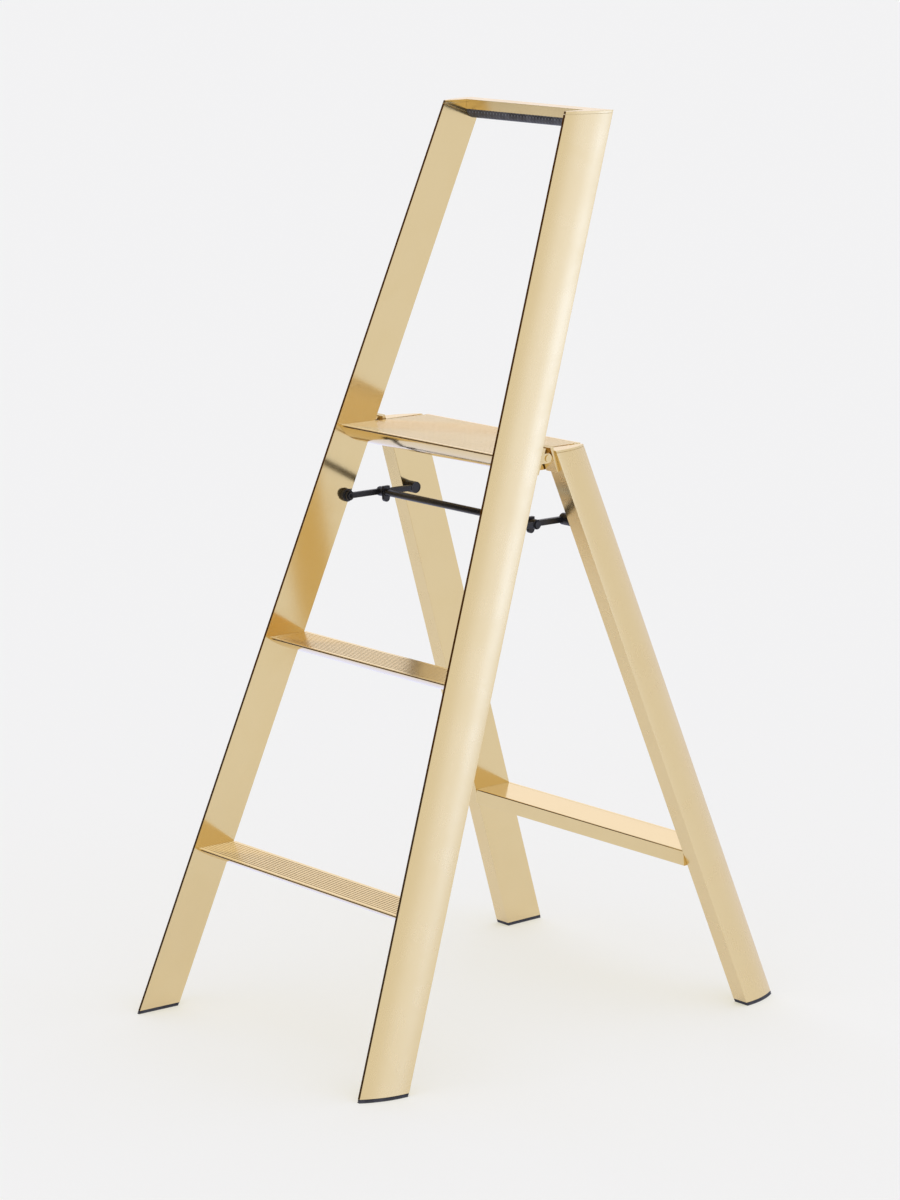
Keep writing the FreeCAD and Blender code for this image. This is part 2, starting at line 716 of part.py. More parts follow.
def make_hinge(name, side):
    """A bracket with two ears on the rail, a lug with a bush on the leg, and the pin through them."""
    near = dim["hinge_inner"]
    far = near + dim["hinge_width"]
    eye = dim["hinge_eye"]
    z = dim["hinge_height"]
    thick = dim["hinge_plate"]
    low = dim["hinge_plate_low"]
    length = dim["hinge_plate_length"]
    seat = dim["hinge_seat"]
    pin_hole = dim["hinge_pin_radius"] + dim["running_play"]
    centre = (near + far) / 2
    lug_near = centre - dim["hinge_lug"] / 2
    lug_far = centre + dim["hinge_lug"] / 2
    ear = (dim["hinge_width"] - dim["hinge_lug"]) / 2 - dim["hinge_ear_play"]

    rear_face = rail_front(low) + LEVEL_DEPTH
    parts = [block("bracket_plate_" + name, side, near, far, rear_face + seat, low, thick, length,
                   Rotation(Vector(1, 0, 0), -LEAN.value))]
    reach = -(rail_front(z) + LEVEL_DEPTH) - thick / 2
    for place_name, start in (("inner", near), ("outer", far - ear)):
        label = "bracket_ear_%s_%s" % (place_name, name)
        parts.append(block(label, side, start, start + ear, -reach, z - eye, reach, eye * 2))
        parts.append(rod(label + "_eye", side, start, start + ear, NONE, z, eye))
    hole = rod("bracket_hole_" + name, side, near - OVERCUT, far + OVERCUT, NONE, z, pin_hole)
    keep(combine("Cut", "hinge_bracket_" + name, join("bracket_solid_" + name, parts), hole))

    corner_y = leg_front(low) - seat - thick * cosine(LEAN)
    corner_z = low - thick * sine(LEAN)
    plate = block("lug_plate_" + name, side, near, far, corner_y, corner_z, thick, length,
                  Rotation(Vector(1, 0, 0), LEAN.value))
    arm = block("lug_arm_" + name, side, lug_near, lug_far, NONE, z - eye, reach, eye * 2)
    ring = rod("lug_eye_" + name, side, lug_near, lug_far, NONE, z, eye)
    bore = rod("lug_bore_" + name, side, lug_near - OVERCUT, lug_far + OVERCUT, NONE, z,
               dim["bush_radius"] + dim["running_play"])
    keep(combine("Cut", "hinge_lug_" + name, join("lug_solid_" + name, [plate, arm, ring]), bore))

    bush = rod("bush_solid_" + name, side, lug_near, lug_far, NONE, z, dim["bush_radius"])
    hole = rod("bush_hole_" + name, side, lug_near - OVERCUT, lug_far + OVERCUT, NONE, z, pin_hole)
    keep(combine("Cut", "hinge_bush_" + name, bush, hole))

    play = dim["pin_head_play"]
    thin = dim["pin_head_height"]
    shaft = rod("pin_shaft_" + name, side, near - play - thin, far + play + thin, NONE, z,
                dim["hinge_pin_radius"])
    heads = [rod("pin_head_%s_%d" % (name, index), side, start, start + thin, NONE, z, dim["pin_head"])
             for index, start in enumerate((near - play - thin, far + play))]
    keep(join("hinge_pin_" + name, [shaft] + heads))


# ---- folding stays ----

def make_link(label, side, near, from_y, to_y, holes, eyes):
    """One link of a stay: a flat bar with an eye at each end."""
    far = near + dim["stay_thickness"]
    z = dim["stay_height"]
    bar = block(label + "_bar", side, near, far, from_y, z - dim["stay_bar"] / 2, to_y - from_y,
                dim["stay_bar"])
    ends = [rod("%s_eye_%d" % (label, index), side, near, far, y, z, radius)
            for index, (y, radius) in enumerate(eyes)]
    cutters = [rod("%s_hole_%d" % (label, index), side, near - OVERCUT, far + OVERCUT, y, z,
                   dim["stay_pin"] + dim["running_play"]) for index, y in enumerate(holes)]
    return combine("Cut", label, join(label + "_solid", [bar] + ends), join(label + "_holes", cutters))


def make_stay(name, side, rails, legs):
    z = dim["stay_height"]
    reach = dim["stay_reach"]
    thick = dim["stay_thickness"]
    gap = dim["stay_gap"]
    front_near = dim["stay_outer"] - thick
    rear_near = front_near - gap - thick
    ear_near = rear_near - gap - thick
    pin = dim["stay_pin"]

    outer = dim["stay_outer"]
    head_near = front_near - gap - dim["stay_head_height"]
    past_the_rail = outer + dim["rail_thickness"]
    stock = rod("anchor_stock_" + name, side, outer + gap, past_the_rail, -reach, z, dim["anchor_radius"])
    disc = combine("Common", "anchor_disc_" + name, stock, rails)
    stud = rod("anchor_stud_" + name, side, head_near, outer + ROOT, -reach, z, pin)
    head = rod("anchor_head_" + name, side, head_near, front_near - gap, -reach, z, dim["stay_head"])
    keep(join("stay_anchor_front_" + name, [disc, stud, head]))

    front = make_link("stay_link_front_" + name, side, front_near, -reach, NONE, (-reach, NONE),
                      ((-reach, dim["stay_eye"]), (NONE, dim["stay_eye"])))
    keep(front)

    rear = make_link("stay_rear_arm_" + name, side, rear_near, NONE, reach, (NONE,),
                     ((NONE, dim["stay_eye"]), (reach, dim["boss_radius"])))
    button = rod("stay_button_" + name, side, rear_near - dim["stay_button_height"], rear_near + ROOT,
                 reach, z, dim["stay_button"])
    keep(join("stay_link_rear_" + name, [rear, button]))

    boss = rod("boss_stock_" + name, side, front_near + gap, past_the_rail, reach, z, dim["boss_radius"])
    keep(combine("Common", "stay_anchor_rear_" + name, boss, legs))

    ear = block("ear_block_" + name, side, ear_near, ear_near + thick, -dim["ear_width"] / 2,
                z - dim["ear_below"], dim["ear_width"], dim["ear_above"] + dim["ear_below"])
    toe = rod("ear_toe_" + name, side, ear_near, ear_near + thick, NONE, z - dim["ear_below"],
              dim["ear_width"] / 2)
    hole = rod("ear_hole_" + name, side, ear_near - OVERCUT, ear_near + thick + OVERCUT, NONE, z,
               pin + dim["running_play"])
    keep(combine("Cut", "knee_ear_" + name, join("ear_solid_" + name, [ear, toe]), hole))

    tube_inside = dim["lock_bar_radius"] - dim["lock_bar_wall"] - dim["running_play"]
    end = ear_near - dim["bar_end_play"]
    clip_near = outer + gap
    clip_far = clip_near + dim["stay_head_height"]
    plug = rod("knee_plug_" + name, side, ear_near - dim["knee_plug"], end, NONE, z, tube_inside)
    shaft = rod("knee_shaft_" + name, side, end - ROOT, clip_far, NONE, z, pin)
    clip = rod("knee_clip_" + name, side, clip_near, clip_far, NONE, z, dim["stay_head"])
    keep(join("knee_pin_" + name, [plug, shaft, clip]))
    return ear_near


def make_lock_bar(ear_near):
    z = dim["stay_height"]
    end = ear_near - dim["bar_end_play"]
    radius = dim["lock_bar_radius"]
    outer = rod("lock_bar_solid", 1, -end, end, NONE, z, radius)
    inner = rod("lock_bar_bore", 1, -end - OVERCUT, end + OVERCUT, NONE, z, radius - dim["lock_bar_wall"])
    keep(combine("Cut", "lock_bar", outer, inner))


# ---- build, check, export ----

def check_document():
    for feature in doc.Objects:
        bad = [state for state in feature.State if state in ("Invalid", "Error")]
        if bad:
            raise RuntimeError("%s is %s" % (feature.Label, bad))
    for feature in nodes:
        if feature.Shape.isNull() or not feature.Shape.isValid():
            raise RuntimeError("%s has no valid shape" % feature.Label)


def export_nodes():
    os.makedirs("parts", exist_ok=True)
    for feature in nodes:
        feature.Shape.exportStep("parts/%s.step" % feature.Label)
        box = feature.Shape.BoundBox
        print("%-26s %d solids %9.0f mm3  x %7.1f %7.1f  y %7.1f %7.1f  z %7.1f %7.1f" % (
            feature.Label, len(feature.Shape.Solids), feature.Shape.Volume, box.XMin, box.XMax, box.YMin,
            box.YMax, box.ZMin, box.ZMax))


def main():
    rails = between("between_rails", FRONT)
    legs = between("between_legs", REAR)
    make_front_frame(rails)
    make_rear_frame(legs)
    for name, side in SIDES:
        make_hinge(name, side)
        ear_near = make_stay(name, side, rails, legs)
    make_lock_bar(ear_near)
    doc.recompute()
    check_document()
    export_nodes()


main()
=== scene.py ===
import json
import math

import bmesh
import bpy
from mathutils import Matrix, Vector

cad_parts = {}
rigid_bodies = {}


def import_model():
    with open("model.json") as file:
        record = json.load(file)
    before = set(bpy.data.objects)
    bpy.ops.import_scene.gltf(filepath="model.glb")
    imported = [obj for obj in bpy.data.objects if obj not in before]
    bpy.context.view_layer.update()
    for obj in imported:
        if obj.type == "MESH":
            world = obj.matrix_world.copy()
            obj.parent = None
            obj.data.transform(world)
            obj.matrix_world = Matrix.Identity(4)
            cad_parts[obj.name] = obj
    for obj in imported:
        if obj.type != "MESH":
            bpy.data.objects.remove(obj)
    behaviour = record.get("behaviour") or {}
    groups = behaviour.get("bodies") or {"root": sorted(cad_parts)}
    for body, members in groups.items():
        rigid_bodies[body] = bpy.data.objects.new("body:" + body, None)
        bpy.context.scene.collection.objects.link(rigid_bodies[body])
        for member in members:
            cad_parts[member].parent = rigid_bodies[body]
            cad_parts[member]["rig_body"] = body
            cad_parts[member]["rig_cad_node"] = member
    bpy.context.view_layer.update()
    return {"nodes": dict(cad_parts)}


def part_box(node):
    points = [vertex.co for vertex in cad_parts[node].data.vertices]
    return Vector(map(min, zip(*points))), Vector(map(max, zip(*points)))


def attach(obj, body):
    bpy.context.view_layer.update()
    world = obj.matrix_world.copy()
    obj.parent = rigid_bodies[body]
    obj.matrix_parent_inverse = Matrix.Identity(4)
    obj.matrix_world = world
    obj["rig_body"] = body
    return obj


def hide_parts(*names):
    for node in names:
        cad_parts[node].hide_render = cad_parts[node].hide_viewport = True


# A folding step ladder of gold-anodised aluminium. Metres, floor at z = 0, the climber stands at -Y.
# The rails and treads are extrusions: each is drawn as a section, drawn out along its length, and
# trimmed where it meets its neighbour.

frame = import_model()

MM = 0.001

# ---- the ladder's own measures ----

LEAN = math.radians(20.0)              # lean of either frame from the vertical
FLOOR_HALF = 253.5 * MM                # middle to the rails' inner faces at the floor
TOP_HALF = 128.0 * MM                  # middle to the rails' inner faces at the top
LEG_SET_OUT = 2.2 * MM                 # the legs stand this much further out
HALF_SPREAD = 387.0 * MM               # middle plane to the front edge of a rail at the floor
HEIGHT = 1300.0 * MM
RAIL_DEPTH = 65.0 * MM / math.cos(LEAN)  # front to back at one level, of rails and legs alike
RAIL_EDGE = 4.5 * MM                   # thickness at the edge away from the other frame
RAIL_THICK = 27.5 * MM                 # thickness at the edge toward the other frame
RAIL_BOW = 134.0 * MM                  # radius of the bowed faces of rails, legs, treads and crossbar
NOSE = 2.5 * MM                        # height of a tread's flat nose
NOSE_RADIUS = 1.9 * MM
PLATFORM_CURVE = 54.0 * MM             # how far back the platform's bowed underside reaches
WHOLE_DEPTH = math.inf                 # the same for the treads, bowed all the way back
PLATFORM_BOW = 67.0 * MM
RIB_PITCH = 5.6 * MM
GROOVE_WIDTH = 2.2 * MM
GROOVE_DEPTH = 0.5 * MM
GROOVE_SLOPE = 0.45 * MM               # width of a groove's sloping wall
SMOOTH_STRIP = 7.0 * MM                # without grooves, along a tread's nose and rear edge
SEAM = 0.8 * MM                        # between a rail and the inlay of its cast corner
INLAY = 4.0 * MM
GAP = 0.15 * MM                        # between a tread's end and the rail's face
JOINT_LINE = 0.05 * MM                 # between a leg's end and its cap
FLANGE_LINE = 0.02 * MM                # between a rail's end and its cast corner
FOOT_INSET = 0.4 * MM                  # a shoe is this much slimmer than its rail
OVERLONG = 1.05                        # how much too long a tread is drawn before its ends are trimmed

RAIL_RADIUS = 0.3 * MM                 # small radii that break the sharp edges
LEG_RADIUS = 0.6 * MM
CAP_RADIUS = 0.7 * MM
CORNER_RADIUS = 0.35 * MM
CASTING_RADIUS = 0.4 * MM
TREAD_RADIUS = 0.45 * MM
CROSSBAR_RADIUS = 0.6 * MM
BAR_RADIUS = 0.5 * MM
GRIP_RADIUS = 0.15 * MM
MOULDED_RADIUS = 0.4 * MM
EYE_ROUNDING = 0.45 * MM
STUD_ROUNDING = 0.5 * MM
HEAD_ROUNDING = 0.3 * MM
EAR_ROUNDING = 0.5 * MM
TUBE_ROUNDING = 0.3 * MM

EYE_RADIUS = 7.0 * MM                  # the folding stays
LINK_WAIST = 8.2 * MM
STAY_PLAY = 0.3 * MM                   # between a link and the pieces beside it
STUD_RADIUS = 9.5 * MM
HEAD_RADIUS = 5.1 * MM
SHAFT_RADIUS = 3.0 * MM
SHAFT_START = 0.5 * MM                 # below the head's face
PAST_FACE = 6.0 * MM                   # how far a round base runs on before the rail's face trims it

# Steps moulded into the faces of the stays' pieces: the width of a step, then how far it rises.
LINK_PANEL = ((1.6 * MM, -0.9 * MM),)
EYE_RINGS = ((1.3 * MM, 0), (0.5 * MM, -0.7 * MM))
STUD_RINGS = ((1.6 * MM, 0), (0.5 * MM, 0.5 * MM))
HEAD_RINGS = ((1.5 * MM, 0), (0.4 * MM, -0.5 * MM))
BOSS_RINGS = ((1.2 * MM, 0), (0.5 * MM, -0.6 * MM))
EAR_PANEL = ((1.3 * MM, -0.5 * MM),)
TUBE_BORE = ((1.2 * MM, 0), (0.05 * MM, -4 * MM))

RAKE = math.tan(LEAN)                  # how far a frame leans back for its rise
TAPER = (FLOOR_HALF - TOP_HALF) / HEIGHT
DRIFT = TAPER * math.sin(LEAN) * math.cos(LEAN)  # how far an inner face turns in for its depth
SIDES = (("left", -1), ("right", 1))
FRONT, REAR = 1, -1
ARC_STEP = math.radians(1.6)           # turn between two vertices of an arc
SMOOTH_ANGLE = math.radians(28)        # sharper edges than this stay hard
TREAD_SMOOTH_ANGLE = math.radians(24)
MERGE = 0.01 * MM                      # vertices nearer than this are one
ON_LINE = 0.1 * MM                     # an end nearer than this to a line lies on it

# How much of a face's normal must lie along an axis for the face to count as looking that way.
SQUARE_ON = 0.9
RAIL_EDGE_ON = 0.75                    # for a rail's narrow front edge
UNDERSIDE = 0.2                        # for the bowed underside of a tread
NOSE_AREA = 10 * MM ** 2               # least area of the flat strip along a tread's nose

COLOUR_A = 6                           # a Mix node's sockets when it mixes colours
COLOUR_B = 7
COLOUR_OUT = 2
FLOAT_A = 2                            # and when it mixes plain values
FLOAT_B = 3

FOOT_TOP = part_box("rail_left")[0].z
RAIL_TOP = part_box("rail_left")[1].z
LEG_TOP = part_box("leg_left")[1].z
PLATFORM_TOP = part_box("platform_deck")[1].z
STAY_HEIGHT = (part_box("lock_bar")[0].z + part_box("lock_bar")[1].z) / 2


# ---- modelling helpers ----

def upright_plane(x, y, z):
    """Map a section drawn across depth and height to the plane at x, from the corner at y and z."""
    return lambda u, v: Vector((x, y + u, z + v))


def arc_of(start, end, bow):
    """Centre, signed sweep and step count of an arc; a positive bow bulges to the right of its way."""
    run = end - start
    half = run.length / 2
    radius = abs(bow)
    normal = Vector((run.y, -run.x)).normalized()
    centre = (start + end) / 2 - normal * math.copysign(math.sqrt(radius ** 2 - half ** 2), bow)
    sweep = 2 * math.asin(half / radius)
    return centre, math.copysign(sweep, bow), max(3, round(sweep / ARC_STEP))


def draw_section(name, to_space, corners):
    """Draw a closed outline from one vertex on. A corner is (u, v) or (u, v, bow of the edge after it)."""
    places = [Vector(corner[:2]) for corner in corners]
    axis = (to_space(1, 0) - to_space(0, 0)).cross(to_space(0, 1) - to_space(0, 0))
    bpy.ops.object.select_all(action="DESELECT")
    bpy.ops.mesh.primitive_plane_add(size=MM, location=to_space(*places[0]))
    piece = bpy.context.object
    piece.name = name
    bpy.ops.object.mode_set(mode="EDIT")
    bpy.ops.mesh.select_mode(type="VERT")
    bpy.ops.mesh.select_all(action="SELECT")
    bpy.ops.mesh.merge(type="CENTER")
    for index, corner in enumerate(corners):
        start = places[index]
        end = places[(index + 1) % len(places)]
        if len(corner) == 2:
            step = to_space(*end) - to_space(*start)
            bpy.ops.mesh.extrude_vertices_move(TRANSFORM_OT_translate={"value": step})
        else:
            centre, sweep, steps = arc_of(start, end, corner[2])
            bpy.ops.mesh.spin(steps=steps, angle=-sweep, center=to_space(*centre), axis=axis)
    bpy.ops.mesh.select_all(action="SELECT")
    bpy.ops.mesh.remove_doubles(threshold=MERGE)
    bpy.ops.mesh.edge_face_add()
    return piece


def draw_out(step):
    """Turn the drawn face into a prism along a step."""
    bpy.ops.mesh.select_all(action="SELECT")
    bpy.ops.mesh.extrude_region_move(TRANSFORM_OT_translate={"value": step})
    bpy.ops.mesh.select_all(action="SELECT")
    bpy.ops.mesh.normals_make_consistent(inside=False)


def trim(point, outward):
    """Cut away what lies outside a plane and close the cut."""
    bpy.ops.mesh.select_all(action="SELECT")
    bpy.ops.mesh.bisect(plane_co=point, plane_no=outward, use_fill=True, clear_outer=True)


def pick_edges(piece, wanted):
    """Select only the edges for which wanted(edge) is true."""
    bpy.ops.mesh.select_mode(type="EDGE")
    bpy.ops.mesh.select_all(action="DESELECT")
    mesh = bmesh.from_edit_mesh(piece.data)
    for edge in mesh.edges:
        edge.select_set(wanted(edge))
    mesh.select_flush_mode()
    bmesh.update_edit_mesh(piece.data)


def pick_faces(piece, wanted):
    """Select only the faces for which wanted(face) is true."""
    bpy.ops.mesh.select_mode(type="FACE")
    bpy.ops.mesh.select_all(action="DESELECT")
    mesh = bmesh.from_edit_mesh(piece.data)
    mesh.faces.ensure_lookup_table()
    for face in mesh.faces:
        face.select_set(wanted(face))
    mesh.select_flush_mode()
    bmesh.update_edit_mesh(piece.data)


def inset(thickness, depth):
    """Inset the picked faces together, and sink them (a negative depth) or raise them."""
    bpy.ops.mesh.inset(thickness=thickness, depth=depth, use_boundary=True)


def is_corner(edge, least=math.radians(35)):
    """True for an edge between two faces that turn sharply."""
    return len(edge.link_faces) == 2 and edge.calc_face_angle(0.0) > least


def round_corners(piece, radius, wanted=is_corner, segments=2):
    """Round the picked edges over a small radius."""
    pick_edges(piece, wanted)
    bpy.ops.mesh.bevel(offset=radius, segments=segments, profile=0.5, clamp_overlap=True)


def finish_piece(piece, body, slot, *replaced, smooth=SMOOTH_ANGLE):
    """Leave edit mode, put the place into the mesh, shade it and give it to its body."""
    bpy.ops.object.mode_set(mode="OBJECT")
    bpy.ops.object.select_all(action="DESELECT")
    piece.select_set(True)
    bpy.context.view_layer.objects.active = piece
    bpy.ops.object.transform_apply(location=True, rotation=True, scale=True)
    bpy.ops.object.shade_smooth_by_angle(angle=smooth)
    even = piece.modifiers.new("flat_faces_stay_flat", "WEIGHTED_NORMAL")
    even.keep_sharp = True
    even.weight = 100
    bpy.ops.object.modifier_apply(modifier=even.name)
    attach(piece, body)
    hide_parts(*replaced)
    return piece


def paint(piece, *materials):
    """Give a piece its material, and others for the faces that a test picks: (material, test)."""
    piece.data.materials.clear()
    piece.data.materials.append(materials[0])
    for index, (material, wanted) in enumerate(materials[1:], start=1):
        piece.data.materials.append(material)
        for face in piece.data.polygons:
            if wanted(face):
                face.material_index = index


def add_rod(name, side, near, far, y, z, radius, vertices=64):
    """A round rod along X between two distances from the middle plane, left in edit mode."""
    bpy.ops.object.select_all(action="DESELECT")
    bpy.ops.mesh.primitive_cylinder_add(vertices=vertices, radius=radius, depth=far - near,
                                        location=((near + far) / 2 * side, y, z),
                                        rotation=(0, math.pi / 2, 0))
    piece = bpy.context.object
    piece.name = name
    bpy.ops.object.transform_apply(location=True, rotation=True, scale=True)
    bpy.ops.object.mode_set(mode="EDIT")
    return piece


def join_pieces(name, *pieces):
    """Join pieces that are left in object mode, and come back in edit mode."""
    bpy.ops.object.select_all(action="DESELECT")
    for piece in pieces:
        piece.select_set(True)
    bpy.context.view_layer.objects.active = pieces[0]
    if len(pieces) > 1:
        bpy.ops.object.join()
    pieces[0].name = name
    bpy.ops.object.mode_set(mode="EDIT")
    return pieces[0]


def leave_edit(piece):
    """Back to object mode, with the place put into the mesh."""
    bpy.ops.object.mode_set(mode="OBJECT")
    bpy.ops.object.select_all(action="DESELECT")
    piece.select_set(True)
    bpy.context.view_layer.objects.active = piece
    bpy.ops.object.transform_apply(location=True, rotation=True, scale=True)
    return piece


def carve(piece, cutter, operation="DIFFERENCE"):
    """Apply a boolean and remove the cutter. Both are in object mode."""
    bpy.ops.object.select_all(action="DESELECT")
    piece.select_set(True)
    bpy.context.view_layer.objects.active = piece
    modifier = piece.modifiers.new("carve", "BOOLEAN")
    modifier.operation = operation
    modifier.object = cutter
    modifier.solver = "EXACT"
    bpy.ops.object.modifier_apply(modifier=modifier.name)
    bpy.data.objects.remove(cutter)


# ---- where things are ----

def rail_line(facing, height):
    """y of a rail's or leg's front edge at a height: the edge that faces away from the other frame."""
    return (RAKE * height - HALF_SPREAD) * facing


def half_width(facing, y, height):
    """Half the clear width between the two rails, or the two legs, at a place on their inner faces."""
    set_out = 0 if facing == FRONT else LEG_SET_OUT
    back = (y - rail_line(facing, height)) * facing
    return FLOOR_HALF + set_out - TAPER * height - back * DRIFT


def inner_plane(facing, side, gap=0.0):
    """A point on a rail's inner face and the direction out through the rail."""
    point = Vector((half_width(facing, 0, HEIGHT / 2) * side - gap * side, 0, HEIGHT / 2))
    along = Vector((-TAPER * side, RAKE * facing, 1))
    across = Vector((-DRIFT * side, facing, 0))
    outward = along.cross(across) * -side * facing
    return point, outward.normalized() * (1 if outward.x * side > 0 else -1)


# ---- rails, legs, their feet and caps ----

def lens_corners(side, facing, margin=0.0):
    """Level section of a rail: flat inside, bowed outside, thin at the edge away from the other frame."""
    deep = RAIL_DEPTH - margin
    return [
        ((margin - DRIFT * margin) * side, margin * facing),
        (RAIL_EDGE * side, margin * facing, RAIL_BOW * side * facing),
        ((RAIL_THICK - DRIFT * deep - margin) * side, deep * facing),
        ((margin - DRIFT * deep) * side, deep * facing),
    ]


def leaning_prism(name, side, facing, low, high, margin=0.0):
    """A length of rail between two levels. A margin makes it a little slimmer."""
    y = rail_line(facing, low)
    x = half_width(facing, y, low) * side
    section = draw_section(name, lambda u, v: Vector((x + u, y + v, low)), lens_corners(side, facing, margin))
    draw_out(Vector((-TAPER * side, RAKE * facing, 1)) * (high - low))
    return section


def seam_block(name, side, drop):
    """The space above a top corner's seam, square to the rail, that its inlay fills."""
    y = rail_line(FRONT, RAIL_TOP)
    face = half_width(FRONT, y, RAIL_TOP)
    margin = 4 * MM
    width = RAIL_THICK / 2 + INLAY
    length = RAIL_DEPTH + margin * 2
    tall = RAIL_DEPTH / 2
    bpy.ops.object.select_all(action="DESELECT")
    bpy.ops.mesh.primitive_cube_add(size=1)
    block = bpy.context.object
    block.name = name
    block.scale = (width, length, tall)
    bpy.ops.object.transform_apply(location=False, rotation=False, scale=True)
    along = Vector((0, math.cos(LEAN), -math.sin(LEAN)))
    up = Vector((0, math.sin(LEAN), math.cos(LEAN)))
    corner = Vector((0, y, RAIL_TOP)) - along * margin - up * drop
    centre = corner + along * length / 2 + up * tall / 2
    centre.x = (face + INLAY - width / 2) * side
    block.data.transform(Matrix.Translation(centre) @ Matrix.Rotation(-LEAN, 4, "X"))
    return block


def make_rail(name, side, metal):
    """A side rail, cut out at its top for the cast corner's inlay."""
    rail = leave_edit(leaning_prism("rail_profile_" + name, side, FRONT, FOOT_TOP, RAIL_TOP))
    carve(rail, seam_block("seam_" + name, side, SEAM))
    bpy.ops.object.mode_set(mode="EDIT")
    round_corners(rail, RAIL_RADIUS)
    finish_piece(rail, "front_frame", "anodised_rail", "rail_" + name)
    paint(rail, metal["rail_outside"],
          (metal["rail_inside"], lambda face: face.normal.x * side < -SQUARE_ON),
          (metal["rail_edge"], lambda face: face.normal.y < -RAIL_EDGE_ON))


def make_leg(name, side, metal):
    """A rear leg and the cap on its end, level with the platform."""
    leg = leaning_prism("leg_profile_" + name, side, REAR, FOOT_TOP, LEG_TOP)
    round_corners(leg, LEG_RADIUS, segments=3)
    finish_piece(leg, "rear_frame", "anodised_rail", "leg_" + name)
    paint(leg, metal["leg_outside"],
          (metal["leg_inside"], lambda face: face.normal.x * side < -SQUARE_ON))
    lid = leaning_prism("leg_lid_" + name, side, REAR, LEG_TOP + JOINT_LINE, PLATFORM_TOP)
    round_corners(lid, CAP_RADIUS, segments=3)
    finish_piece(lid, "rear_frame", "anodised_casting", "leg_cap_" + name)
    paint(lid, metal["casting"])


def make_foot(label, side, facing, body, rubber):
    """A rubber shoe with a moulded groove round it, just above the floor."""
    groove_low = 1.6 * MM
    groove_high = 2.6 * MM
    groove_wall = 0.15 * MM
    groove_depth = 0.35 * MM
    sole_radius = 0.5 * MM
    foot = leaning_prism(label + "_shoe", side, facing, 0, FOOT_TOP, FOOT_INSET)
    for level in (groove_low, groove_high):
        bpy.ops.mesh.select_all(action="SELECT")
        bpy.ops.mesh.bisect(plane_co=(0, 0, level), plane_no=(0, 0, 1))
    pick_faces(foot, lambda face: groove_low < face.calc_center_median().z < groove_high)
    inset(groove_wall, -groove_depth)
    pick_edges(foot, lambda edge: is_corner(edge) and all(v.co.z < MERGE for v in edge.verts))
    bpy.ops.mesh.bevel(offset=sole_radius, segments=2, profile=0.5)
    finish_piece(foot, body, "black_rubber", label)
    paint(foot, rubber)


def make_top_corner(name, side, metal):
    """The cast corner: the flange over the rail's end and the inlay in its inner face."""
    low = HEIGHT - RAIL_DEPTH / 2
    top = leave_edit(leaning_prism("corner_flange_" + name, side, FRONT, RAIL_TOP + FLANGE_LINE, HEIGHT))
    inlay = leave_edit(leaning_prism("corner_inlay_" + name, side, FRONT, low, RAIL_TOP))
    carve(inlay, seam_block("inlay_space_" + name, side, 0), "INTERSECT")
    corner = join_pieces("corner_casting_" + name, top, inlay)
    round_corners(corner, CORNER_RADIUS)
    finish_piece(corner, "front_frame", "anodised_casting", "top_corner_" + name)
    paint(corner, metal["casting"],
          (metal["casting_inside"], lambda face: face.normal.x * side < -SQUARE_ON))


# ---- treads ----

def ribbed_top(depth):
    """The top of a tread from nose to rear, with its anti-slip grooves."""
    corners = [(0, 0)]
    count = int((depth - 2 * SMOOTH_STRIP) / RIB_PITCH) + 1
    for index in range(count):
        start = SMOOTH_STRIP + index * RIB_PITCH
        end = start + GROOVE_WIDTH
        corners.append((start, 0))
        corners.append((start + GROOVE_SLOPE, -GROOVE_DEPTH))
        corners.append((end - GROOVE_SLOPE, -GROOVE_DEPTH))
        corners.append((end, 0))
    corners.append((depth, 0))
    return corners


def lies_on(piece, edge, lines):
    """True for an edge that runs along one of the lines, each given by its y and z."""
    ends = [vertex.co + piece.location for vertex in edge.verts]
    return any(all(abs(end.y - y) < ON_LINE and abs(end.z - z) < ON_LINE for end in ends) for y, z in lines)


def draw_between(name, facing, low, high, corners):
    """A section drawn from a box's top front edge, drawn out along X and trimmed by the rails' faces."""
    reach = high.x * OVERLONG
    piece = draw_section(name, upright_plane(-reach, low.y, high.z), corners)
    draw_out(Vector((reach * 2, 0, 0)))
    for _, side in SIDES:
        trim(*inner_plane(facing, side, GAP))
    return piece


def make_tread(node, curve, bow, metal):
    """A ribbed tread. Its underside is bowed from the nose back to the curve's end, and flat from there."""
    low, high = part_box(node)
    depth = high.y - low.y
    drop = low.z - high.z
    corners = [(0, -NOSE)] + ribbed_top(depth)
    if curve < depth:
        corners += [(depth, drop), (curve, drop, -bow)]
    else:
        corners += [(depth, drop, -bow)]
    piece = draw_between(node + "_extrusion", FRONT, low, high, corners)
    rims = [(low.y, high.z - NOSE), (high.y, high.z), (high.y, low.z)]
    round_corners(piece, TREAD_RADIUS, lambda edge: lies_on(piece, edge, rims), segments=3)
    round_corners(piece, NOSE_RADIUS, lambda edge: lies_on(piece, edge, [(low.y, high.z)]), segments=5)
    finish_piece(piece, "front_frame", "anodised_tread", node, smooth=TREAD_SMOOTH_ANGLE)
    paint(piece, metal["tread_top"],
          (metal["tread_under"], lambda face: face.normal.z < -UNDERSIDE),
          (metal["rail_edge"], lambda face: face.normal.y < -SQUARE_ON and face.area > NOSE_AREA))


